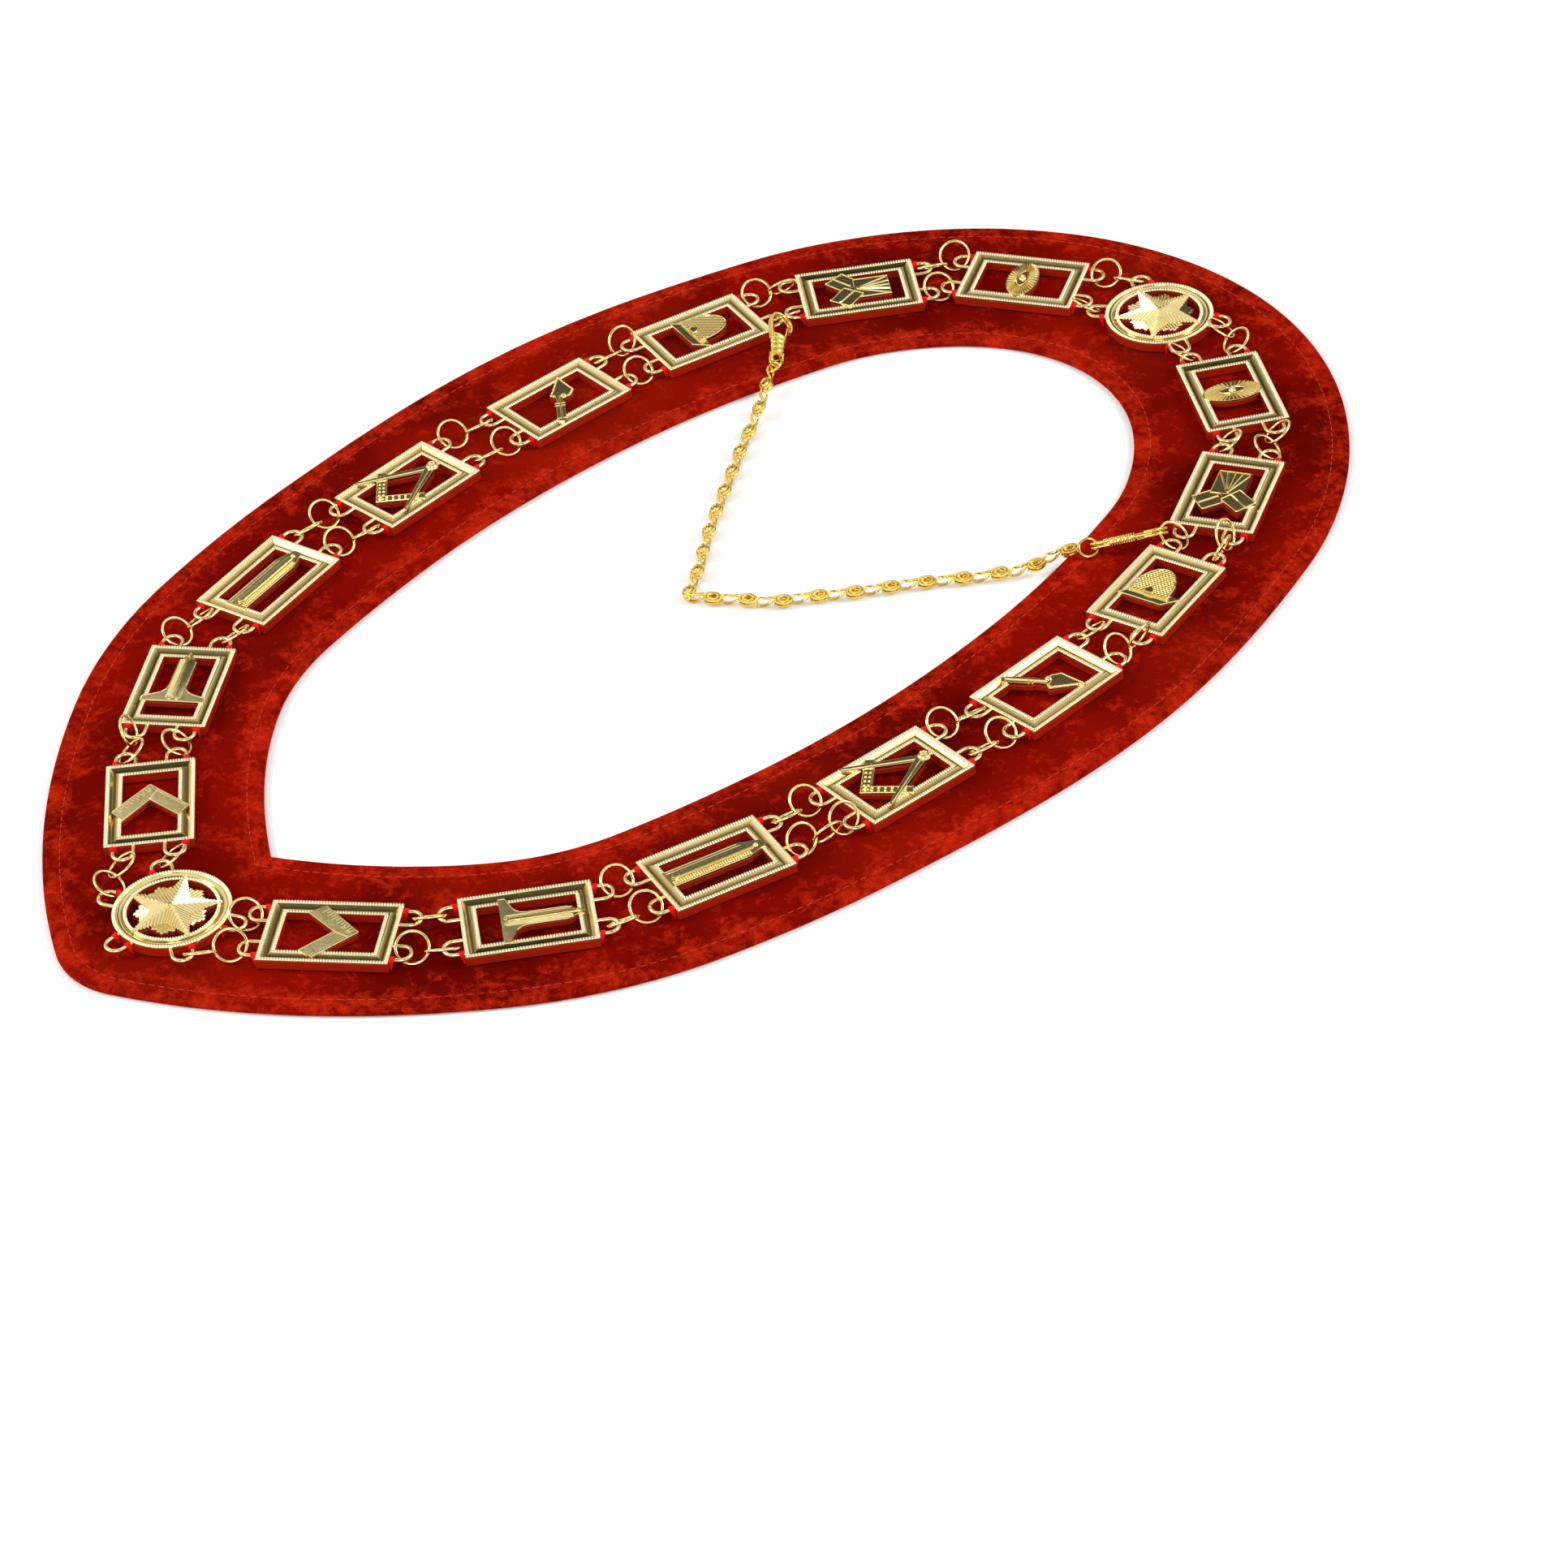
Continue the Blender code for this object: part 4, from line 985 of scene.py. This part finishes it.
def starShape():
    shape = roundelShape
    body = circlePrimitive(10, "TRIFAN")
    corners = {}
    for vert in body.data.vertices:
        if vert.co.length < 0.5 * mm:
            vert.co = crown = Vector((0, 0, shape["crown"]))
            continue
        step = round((atan2(vert.co.y, vert.co.x) - pi / 2) / (pi / 5))
        reach, lift = (shape["starWaist"], 0.0) if step % 2 else (shape["starRadius"], shape["tipLift"])
        vert.co = corners[step % 10] = Vector((*circlePoint(reach, pi / 2 + step * pi / 5), shape["starEdge"] + lift))
    pick(body, "FACE", lambda face: True)
    bpy.ops.mesh.extrude_region_move(TRANSFORM_OT_translate={"value": (0, 0, 0)})
    bpy.ops.transform.translate(value=(0, 0, -2.2 * mm))
    bpy.ops.transform.resize(value=(1, 1, 0.0), center_override=(0, 0, plaqueShape["figureLow"]))
    pieces = [editDone(body)]
    for arm in range(0, 10, 2):
        for waist in (corners[(arm + 1) % 10], corners[(arm - 1) % 10]):
            for step in range(shape["ribs"]):
                share = (step + 0.5) / shape["ribs"]
                start, end = crown.lerp(corners[arm], share), waist.lerp(corners[arm], share)
                pieces.append(ribOn(start, end.lerp(start, -0.03), *shape["rib"]))
    return joined(pieces, "star")


def leafShape():
    # a blunt leaf with a peak and two shoulders, ribbed along its length, pointing along +Y
    shape = roundelShape
    half = shape["leafWidth"] / 2
    reach = shape["leafReach"]
    # shares of the half width and of the reach
    right = [(1, 0.74), (1.25, 0.84), (0.62, 0.83), (0.60, 0.93), (0.28, 0.91)]
    outline = [(-1, 0), (1, 0)] + right + [(0, 1.0)] + [(-x, y) for x, y in right[::-1]]
    outline = [(half * x, reach * y) for x, y in outline]
    pieces = [outlinePlate(outline, plaqueShape["figureLow"], shape["leafTop"], shape["leafEdge"])]
    for step in range(-3, 4):
        x = step * half * 1.08 / 3
        end = reach * (0.99, 0.93, 0.845, 0.85)[abs(step)]
        first, last = (Vector((x, y, shape["leafTop"])) for y in (2 * mm, end))
        pieces.append(ribOn(first, last, half * 0.35, shape["rib"][1]))
    return joined(pieces, "leaf")


ringShape = ringFrame()
star = smoothed(starShape(), 25.0)
leaf = smoothed(leafShape(), 30.0)
for end, turn, angles in (
    ("front", pi, [*layout["frontLoops"].values(), layout["jewelLoop"]]), ("back", 0.0, layout["backLoops"].values()),
):
    place = roundelMatrix(end)
    spin = turned(turn)
    parts = [copied(ringShape, place), copied(star, place @ spin)]
    parts += [copied(leaf, place @ spin @ turned(radians(36 + 72 * step))) for step in range(5)]
    for angle in angles:
        foot = turned(radians(angle - 90.0)) @ shift(0, roundelShape["radius"], layout["loopLevel"])
        parts.append(copied(loopShape, place @ foot))
    dress(squared(joined(parts, f"starRoundel_{end}")), paleGold, "pale_gold", f"roundel_{end}")
scrap(ringShape, star, leaf)
print("collar: roundels made")


# Jump rings, each row where the CAD has it

jumpRing = {
    "radius": 5.6 * mm,
    "wire": 0.54 * mm,
    "flat": 0.955,             # widest and narrowest reach along the row, as shares of the radius
    "steep": 0.78,
    "longest": 0.99,
    "bite": 1.5,               # overlap of two rings, in wires
    "steepest": 68.0,
    "slackIn": 1.3 * mm,
    "slackOut": 1.5 * mm,
    "rise": 2.4 * mm,
    "inner": [1, 1, 1, 2, 2, 1, 1, 1, 1],
    "outer": [2, 2, 2, 2, 2, 2, 2, 2, 2],
    "hookGap": 6,
    "spin": 50,                # degrees either way for the cut ends
    "cut": 0.12 * mm,
}


def loopCentre(side, number, end, outward):
    reach = end * (plaqueShape["length"] / 2 + castLoop["reach"])
    return plaqueMatrix(side, number) @ Vector((outward * castLoop["row"], reach, layout["loopLevel"]))


def roundelLoop(end, angle):
    spot = circlePoint(roundelShape["radius"] + castLoop["reach"], radians(angle))
    return roundelMatrix(end) @ Vector((*spot, layout["loopLevel"]))


def rowEnds(side, row, gap):
    outward = 1 if (row == "outer") == (side == "r") else -1
    name = f"{side}_{row}"
    start = loopCentre(side, gap - 1, 1, outward) if gap else roundelLoop("front", layout["frontLoops"][name])
    end = loopCentre(side, gap, -1, outward) if gap < 8 else roundelLoop("back", layout["backLoops"][name])
    return start, end


def ringSpots(side, row, gap):
    shape = jumpRing
    start, end = rowEnds(side, row, gap)
    distance = (end - start).length
    radius = shape["radius"]
    flat, steep = shape["flat"] * radius, shape["steep"] * radius
    touch = shape["bite"] * shape["wire"]
    fewest = max(1, ceil((distance - 2 * shape["slackIn"]) / (2 * flat)))
    most = max(1, floor((distance + 2 * shape["slackOut"] - touch) / (2 * steep - touch)))
    count = max(fewest, min(shape[row][gap], most))
    spare = (distance + (count - 1) * touch) / 2 - count * flat
    slack = max(-shape["slackOut"], min(shape["slackIn"], spare))
    chord = min((distance + (count - 1) * touch - 2 * slack) / (2 * count), shape["longest"] * radius)
    spread = min(flat - chord, chord - steep) if count == 2 and steep < chord < flat else 0.0
    outward = 1 if (row == "outer") == (side == "l") else -1
    alternate = count > 1 or row == "inner" and gap != shape["hookGap"]
    line = Matrix.Translation(start) @ (end - start).to_track_quat("X", "Z").to_matrix().to_4x4()
    spots = []
    along = slack
    for number in range(count):
        reach = chord + spread * (1 - 2 * (number % 2))
        lean = outward * (1 - 2 * ((number + gap) % 2)) if alternate else outward
        offset = sqrt(radius**2 - reach**2)
        roll = asin(min(shape["rise"] / (radius - offset), sin(radians(shape["steepest"]))))
        tilt = Matrix.Rotation(pi - roll if lean < 0 else roll, 4, "X") @ shift(0, offset)
        spots.append(line @ shift(along + reach, 0) @ tilt)
        along += 2 * reach - touch
    return spots


def splitRing(radius, thickness, segments):
    # a ring of round wire whose two cut ends almost meet, at the +Y side
    ring = torusPrimitive(radius, thickness, segments, 10)
    step = 2 * pi / segments
    ring.data.transform(turned(pi / 2 - step / 2))
    pick(ring, "FACE", lambda face: face.center.y > 0 and abs(atan2(face.center.x, face.center.y)) < step / 4)
    bpy.ops.mesh.delete(type="FACE")
    pickRims()
    bpy.ops.mesh.fill()
    editDone(ring)
    for vert in ring.data.vertices:
        angle = atan2(vert.co.x, vert.co.y)
        if abs(angle) < step * 0.75:
            close = jumpRing["cut"] / 2 / radius / abs(angle)
            reach = hypot(vert.co.x, vert.co.y)
            vert.co.x, vert.co.y = reach * sin(angle * close), reach * cos(angle * close)
    return smoothed(ring, 40.0)


ringMaster = splitRing(jumpRing["radius"], jumpRing["wire"], 48)
for side in "lr":
    for row in ("inner", "outer"):
        for gap in range(9):
            rings = []
            for spot in ringSpots(side, row, gap):
                spin = turned(radians(random.uniform(-jumpRing["spin"], jumpRing["spin"])))
                rings.append(copied(ringMaster, spot @ spin))
            name = f"{side}_{row}_{gap}"
            dress(joined(rings, f"jumpRings_{name}"), yellowGold, "yellow_gold", f"rings_{name}")
scrap(ringMaster)
print("collar: jump rings made")


# Sprung hooks at the ends of the neck chain: paths in hundredths of the length

hookShape = {
    "length": 28.1 * mm,
    "wire": 0.58 * mm,
    "spread": 0.75 * mm,       # the two wires above and below the middle plane
    "tongue": 0.4 * mm,
    "turns": 13,
    "eye": [
        (24, 8.0), (19.6, 7.8), (9.6, 7.8), (4.3, 5.7), (1.8, 0), (4.3, -5.7), (9.6, -7.8), (19.6, -7.8), (24, -8.0),
    ],
    "bend": [
        (50, 10.4), (56.9, 11.0), (73.0, 13.2), (89.0, 12.8), (96.8, 7.8), (98.2, 1.4), (94.7, -7.8),
        (88.3, -14.2), (80.4, -16.4), (69.8, -15.7),
    ],
    "tonguePath": [(50, -8.6), (56.9, -9.3), (68.0, -10.6), (79.4, -11.7)],
    "sleeve": (17.8, 58.7, 7.9, 12.2),   # its two ends, and its half width there
    "sleeveDepth": 1.40 * mm,
    "sleeveEdge": 0.5 * mm,
    # rows of each hook's frame
    "left": [
        (-0.67219, -0.55265, 0.49269, -0.08371), (0.72651, -0.62054, 0.29514, 0.11897),
        (0.14263, 0.55634, 0.81862, 0.00526),
    ],
    "right": [
        (0.62052, -0.54223, -0.56652, 0.08639), (0.76947, 0.56035, 0.30648, 0.11558),
        (0.15126, -0.62609, 0.76494, 0.00567),
    ],
}


def springHook():
    shape = hookShape
    part = shape["length"] / 100
    pieces = []
    for name in ("eye", "bend"):
        for lift in (shape["spread"], -shape["spread"]):
            pieces.append(wire([(x * part, y * part, lift) for x, y in shape[name]], shape["wire"], 3, 6))
    tongue = [(x * part, y * part, 0.0) for x, y in shape["tonguePath"]]
    pieces.append(wire(tongue, shape["tongue"], 3, 4))
    start, end, narrow, wide = (value * part for value in shape["sleeve"])
    thickness = (end - start) / shape["turns"] / 2
    path = []
    steps = shape["turns"] * 18
    for step in range(steps + 1):
        share = step / steps
        angle = 2 * pi * shape["turns"] * share
        half = narrow + (wide - narrow) * share - thickness * 0.6
        path.append((start + (end - start) * share, half * cos(angle), shape["sleeveDepth"] * sin(angle)))
    pieces.append(wire(path, 1.12 * thickness, 2, 1))
    core = [(start, narrow - thickness), (end, wide - thickness), (end, thickness - wide), (start, thickness - narrow)]
    pieces.append(outlinePlate(core, -shape["sleeveDepth"], shape["sleeveDepth"], shape["sleeveEdge"]))
    return joined(pieces, "springHook")


def frameFrom(rows):
    return Matrix([*rows, (0, 0, 0, 1)])


hookMaster = smoothed(springHook(), 40.0)
for name in ("left", "right"):
    hook = joined([copied(hookMaster, frameFrom(hookShape[name]))], f"springHook_{name}")
    dress(hook, chainGold, "yellow_gold", f"hook_{name}")
scrap(hookMaster)
print("collar: spring hooks made")


# Neck chain: links bent from one wire, an open eye at one end and two coils at the other

chainShape = {
    "wire": 0.54 * mm,
    "rolls": (38.0, 55.0),     # degrees about each branch's own run, so that the eye and the coil both show
    # a link in mm: along its run, across and up
    "eye": [
        (-8.2, 0.0, 0.0), (-7.8, 1.3, 0.0), (-6.6, 2.1, 0.0), (-5.0, 2.05, 0.0), (-3.3, 1.5, -0.3), (-1.9, 0.9, -1.1),
    ],
    "coilCentre": 1.7,
    "coil": (3.7, 2.1),
    "coilStart": 215.0,
    "turns": 2.15,
    "shrink": 0.66,
    "spread": (0.46, 1.75),
    # in mm, the height at the middle of a link
    "places": [
        (-77.8, 109.1, 5.6), (-70.2, 98.4, 4.3), (-63.5, 87.3, 2.6), (-56.6, 76.3, 2.4), (-49.3, 65.8, 2.4),
        (-42.3, 55.6, 2.4), (-35.3, 45.3, 2.4), (-28.2, 35.2, 2.4), (-20.6, 25.4, 2.4), (-12.8, 15.7, 2.4),
        (-5.8, 5.5, 2.4), (2.9, 6.2, 2.6), (13.0, 13.9, 2.4), (23.1, 21.7, 2.4), (30.7, 32.0, 2.4),
        (38.7, 42.1, 2.4), (46.1, 52.7, 2.4), (53.5, 63.3, 2.4), (61.6, 73.5, 2.4), (69.7, 83.9, 2.6),
        (76.9, 95.0, 3.9), (81.6, 107.3, 5.7),
    ],
    "ends": [(-81.69, 115.09, 5.6), (84.3, 111.78, 5.6)],
    "bendLink": 11,
    "lowest": 0.05 * mm,
    "ring": (3.4 * mm, 0.5 * mm),
    # rows of each end ring's frame
    "left": [
        (0.54468, 0.71964, -0.43062, -0.08354), (-0.83864, 0.46567, -0.28255, 0.11794),
        (-0.00281, 0.51504, 0.85716, 0.00561),
    ],
    "right": [
        (-0.53481, 0.712, 0.45501, 0.08612), (-0.84235, -0.40685, -0.35345, 0.11464),
        (-0.06654, -0.57231, 0.81734, 0.00583),
    ],
}


def chainLink():
    shape = chainShape
    leg = [Vector(point) for point in shape["eye"][1:]]
    near, far = shape["spread"]
    steps = int(shape["turns"] * 12)
    for step in range(steps + 1):
        share = step / steps
        angle = radians(shape["coilStart"]) + 2 * pi * shape["turns"] * share
        size = 1.0 - shape["shrink"] * share
        x = shape["coilCentre"] + shape["coil"][0] * size * cos(angle)
        leg.append(Vector((x, near + (far - near) * share, shape["coil"][1] * size * sin(angle))))
    mirrored = [Vector((point.x, -point.y, point.z)) for point in leg]
    path = leg[::-1] + [Vector(shape["eye"][0])] + mirrored
    return wire([point * mm for point in path], shape["wire"], 1, 2)


def neckChain():
    shape = chainShape
    linkMaster = smoothed(chainLink(), 60.0)
    first, last = shape["ends"]
    stops = [Vector(place) * mm for place in [first] + shape["places"] + [last]]
    toCamera = -Vector(viewing["forward"])
    links = []
    for number in range(len(shape["places"])):
        before, here, after = stops[number:number + 3]
        beyond = number >= shape["bendLink"]
        if number == shape["bendLink"]:
            before = here
        if number == shape["bendLink"] - 1:
            after = here
        along = (after - before).normalized()
        facing = (toCamera - toCamera.dot(along) * along).normalized()
        facing = Matrix.Rotation(radians(shape["rolls"][beyond]), 3, along) @ facing
        across, up = (facing.cross(along), facing) if beyond else (facing, along.cross(facing))
        turn = Matrix((along, across, up)).transposed().to_4x4()
        link = copied(linkMaster, Matrix.Translation(here) @ turn)
        lift = shape["lowest"] - min(vert.co.z for vert in link.data.vertices)
        if lift > 0:
            link.data.transform(shift(0, 0, lift))
        links.append(link)
    endRing = splitRing(*shape["ring"], 36)
    links += [copied(endRing, frameFrom(shape[name])) for name in ("left", "right")]
    scrap(linkMaster, endRing)
    return joined(links, "neckChain")


dress(neckChain(), chainGold, "yellow_gold", "back_chain")
print("collar: neck chain made")


# Velvet band: a fine lofted sheet with rounded edges and a stitched line inside each edge, in mm

velvetShape = {
    "length": 469.0,
    "width": 78.0,
    "lean": 62.9,
    "tip": 32.0,
    "arcs": [(0.586, 24.5), (0.305, 23.5), (1.009, 32.0)],   # of the middle line: radius and degrees
    # share of the run, then how far it reaches inwards and outwards, in widths
    "reach": [
        (0.0, 0.513, 0.487), (0.2, 0.481, 0.468), (0.4, 0.500, 0.487), (0.6, 0.506, 0.538), (0.8, 0.519, 0.487),
        (1.0, 0.455, 0.558),
    ],
    "middleY": 236.9,
    "steps": 440,
    "stations": 300,
    "columns": 28,             # between the two seams
    "thickness": 3.0,
    "seam": 6.5,               # from each edge to its row of stitches
    "seamDepth": 0.45,
    "hollows": 0.28,
    "dents": ((0.035, 3.1), (0.16, 7.7)),   # noise per mm and its layer, soft and fine
    "edgeNear": 16.0,
    "flatSize": (0.346, 0.551),
    "flatArea": 0.092,
}


def middleArcs(scale):
    # each arc's start along the run, radius, centre and heading, then the run and where it ends
    arcs = []
    x = y = run = 0.0
    heading = radians(velvetShape["lean"])
    for share, turn in velvetShape["arcs"]:
        radius = share * scale
        centre = (x - radius * cos(heading), y + radius * sin(heading))
        arcs.append((run, radius, centre, heading))
        run += radius * radians(turn)
        heading -= radians(turn)
        x, y = centre[0] + radius * cos(heading), centre[1] - radius * sin(heading)
    radius = x / cos(heading)
    centre = (x - radius * cos(heading), y + radius * sin(heading))
    arcs.append((run, radius, centre, heading))
    return arcs, run + radius * (pi / 2 + heading), centre[1] + radius


def velvetEdges():
    # both edges of the right half as smooth lines, from the axis at the front to the axis behind
    shape = velvetShape
    arcs, runLength, _ = middleArcs(shape["length"] / middleArcs(1.0)[2])
    inner, outer = [], []
    for step in range(shape["steps"] + 1):
        share = step / shape["steps"]
        run = share * runLength
        start, radius, centre, heading = [arc for arc in arcs if run >= arc[0]][-1]
        heading -= (run - start) / radius
        point = Vector((centre[0] + radius * cos(heading), centre[1] - radius * sin(heading)))
        outward = Vector((cos(heading), -sin(heading)))
        for before, after in zip(shape["reach"], shape["reach"][1:]):
            if share <= after[0]:
                blend = (1 - cos(pi * (share - before[0]) / (after[0] - before[0]))) / 2
                reaches = [before[side] * (1 - blend) + after[side] * blend for side in (1, 2)]
                break
        inner.append(point - outward * shape["width"] * reaches[0])
        outer.append(point + outward * shape["width"] * reaches[1])
    while inner[1].x <= 0:
        inner.pop(0)
    inner[0] = inner[0].lerp(inner[1], -inner[0].x / (inner[1].x - inner[0].x))
    lean = radians(shape["lean"])
    apex = outer[0].y - outer[0].x / tan(lean)
    rounding = min(shape["tip"], 0.95 * outer[0].x / sin(lean) / tan(pi / 2 - lean))
    middle = apex + rounding / cos(pi / 2 - lean)
    tip = []
    for step in range(13):
        angle = (pi / 2 - lean) * step / 12
        tip.append(Vector((rounding * sin(angle), middle - rounding * cos(angle))))
    return evenly(inner, shape["stations"]), evenly(tip + outer, shape["stations"])


def evenly(points, count):
    lengths = [0.0]
    for before, after in zip(points, points[1:]):
        lengths.append(lengths[-1] + (after - before).length)
    result = []
    here = 0
    for step in range(count + 1):
        wanted = lengths[-1] * step / count
        while here < len(points) - 2 and lengths[here + 1] < wanted:
            here += 1
        share = (wanted - lengths[here]) / max(1e-9, lengths[here + 1] - lengths[here])
        result.append(points[here].lerp(points[here + 1], share))
    return result


def velvetStations():
    back = velvetShape["middleY"]
    right = [[Vector((point.x, point.y - back)) for point in pair] for pair in zip(*velvetEdges())]
    return right + [[Vector((-point.x, point.y)) for point in pair] for pair in right[-2:0:-1]]


def sectionAcross(width):
    # distance from the inner edge, and height
    shape = velvetShape
    top, seam = shape["thickness"], shape["seam"]
    bottom, side = top - shape["seamDepth"], top - shape["seamDepth"] * 0.3
    near = [
        (1.1, 0.0), (0.25, 0.45), (0.0, 1.3), (0.14, 2.2), (0.65, 2.75), (1.5, 2.97), (2.8, top), (3.8, top),
        (seam - 1.8, top), (seam - 0.9, side), (seam, bottom), (seam + 0.9, side), (seam + 2.2, top),
    ]
    inner = near[-1][0]
    between = [
        (inner + (width - 2 * inner) * step / shape["columns"], top) for step in range(1, shape["columns"])
    ]
    return near + between + [(width - across, height) for across, height in near[::-1]]


def velvetBand():
    shape = velvetShape
    stations = velvetStations()
    verts, nearness = [], []
    for inner, outer in stations:
        width = (outer - inner).length
        section = sectionAcross(width)
        for across, height in section:
            place = inner.lerp(outer, across / width)
            if height > shape["thickness"] - 0.5:
                soft, fine = (
                    0.5 + 0.5 * noise.noise(Vector((place.x * scale, place.y * scale, layer)))
                    for scale, layer in shape["dents"]
                )
                height -= shape["hollows"] * (0.7 * soft + 0.3 * fine)
            verts.append((place.x * mm, place.y * mm, height * mm))
            nearness.append(max(0.0, 1.0 - min(across, width - across) / shape["edgeNear"]))
    rows, columns = len(stations), len(section)
    faces = []
    for row in range(rows):
        here, after = row * columns, (row + 1) % rows * columns
        for column in range(columns):
            beside = (column + 1) % columns
            faces.append((here + column, after + column, after + beside, here + beside))
    mesh = bpy.data.meshes.new("velvetBand")
    mesh.from_pydata(verts, [], faces)
    band = take(marked(placed("velvetBand", mesh), "edgeNear", nearness))
    mode("EDIT")
    return smoothed(editDone(band), 60.0), stations


stitchShape = {
    "pitch": 3.6 * mm,
    "size": (1.45 * mm, 0.21 * mm, 0.21 * mm),
    "lift": 0.02,
    "sink": 0.17,
    "turn": 5,
}


def stitching(stations):
    shape = stitchShape
    master = spherePrimitive(6, 4)
    bpy.ops.transform.rotate(value=pi / 2, orient_axis="Y", center_override=(0, 0, 0))
    settled(master)
    master.data.transform(scaled(*shape["size"]))
    level = (velvetShape["thickness"] - velvetShape["seamDepth"] + shape["lift"]) * mm
    rows = []
    for edge in (0, 1):
        line = []
        for station in stations:
            near, far = station[edge], station[1 - edge]
            line.append(near.lerp(far, velvetShape["seam"] / (far - near).length) * mm)
        line.append(line[0])
        total = sum((after - before).length for before, after in zip(line, line[1:]))
        marks = evenly(line, 2 * round(total / shape["pitch"]))
        for before, after in zip(marks[::2], marks[1::2]):
            angle = atan2(after.y - before.y, after.x - before.x)
            angle += radians(random.uniform(-shape["turn"], shape["turn"]))
            spot = shift(before.x, before.y, level - random.uniform(0.0, shape["sink"]) * mm)
            rows.append(copied(master, spot @ turned(angle)))
    scrap(master)
    return joined(rows, "velvetStitching")


velvetPiece, stations = velvetBand()
dress(velvetPiece, crimsonVelvet, "crimson_velvet", "velvet_collar")
stitches = dress(stitching(stations), stitchThread, "crimson_velvet")
print("collar: velvet made with its stitching")


# Red thread that ties the castings' loops down to the velvet

tieShape = {
    "strands": 4,
    "pitch": 0.44 * mm,
    "first": 0.35 * mm,
    "thread": 0.27 * mm,
    "lean": 0.25,
    # x and height of a strand, in mm
    "arch": [
        (-0.85, 2.7), (-1.05, 4.4), (-1.02, 6.2), (-0.62, 7.0), (0.0, 7.25), (0.62, 7.0), (1.02, 6.2), (1.05, 4.4),
        (0.85, 2.7),
    ],
    "rise": 4.2,
    "foot": 0.28 * mm,
}


def tieMaster():
    # over a leg that runs along +Y from a casting at y = 0
    shape = tieShape
    foot = shape["foot"]
    strands = []
    for number in range(shape["strands"]):
        y = shape["first"] + number * shape["pitch"]
        lean = random.uniform(-shape["lean"], shape["lean"]) * mm
        path = []
        for x, z in shape["arch"]:
            height = min(1.0, max(0.0, (z - shape["arch"][0][1]) / shape["rise"]))
            path.append((x * mm, foot + (y - foot) * height + lean * x / 3, z * mm))
        strands.append(wire(path, shape["thread"], 1, 2))
    return joined(strands, "tie")


def threadTies():
    master = smoothed(tieMaster(), 60.0)
    drop = shift(0, 0, -layout["loopLevel"])
    ties = []
    for side in "lr":
        for number in range(8):
            for foot in plaqueLoops():
                hand = 1 if (foot.translation.x > 0) == (foot[1][1] > 0) else -1
                spot = plaqueMatrix(side, number) @ (foot @ drop) @ shift(hand * castLoop["radius"], 0)
                ties.append(copied(master, spot))
    for end, angles in (("front", layout["frontLoops"]), ("back", layout["backLoops"])):
        legs = [(angle, 1 if name.endswith("outer") == name.startswith("l") else -1) for name, angle in angles.items()]
        if end == "front":
            legs += [(layout["jewelLoop"], 1), (layout["jewelLoop"], -1)]
        for angle, hand in legs:
            foot = turned(radians(angle - 90.0)) @ shift(hand * castLoop["radius"], roundelShape["radius"])
            ties.append(copied(master, roundelMatrix(end) @ foot))
    scrap(master)
    return joined(ties, "threadTies")


ties = dress(threadTies(), redThread, "crimson_velvet")
scrap(bead, loopShape, frameShape, ridgeShape, studShape)
print("collar: thread ties made")
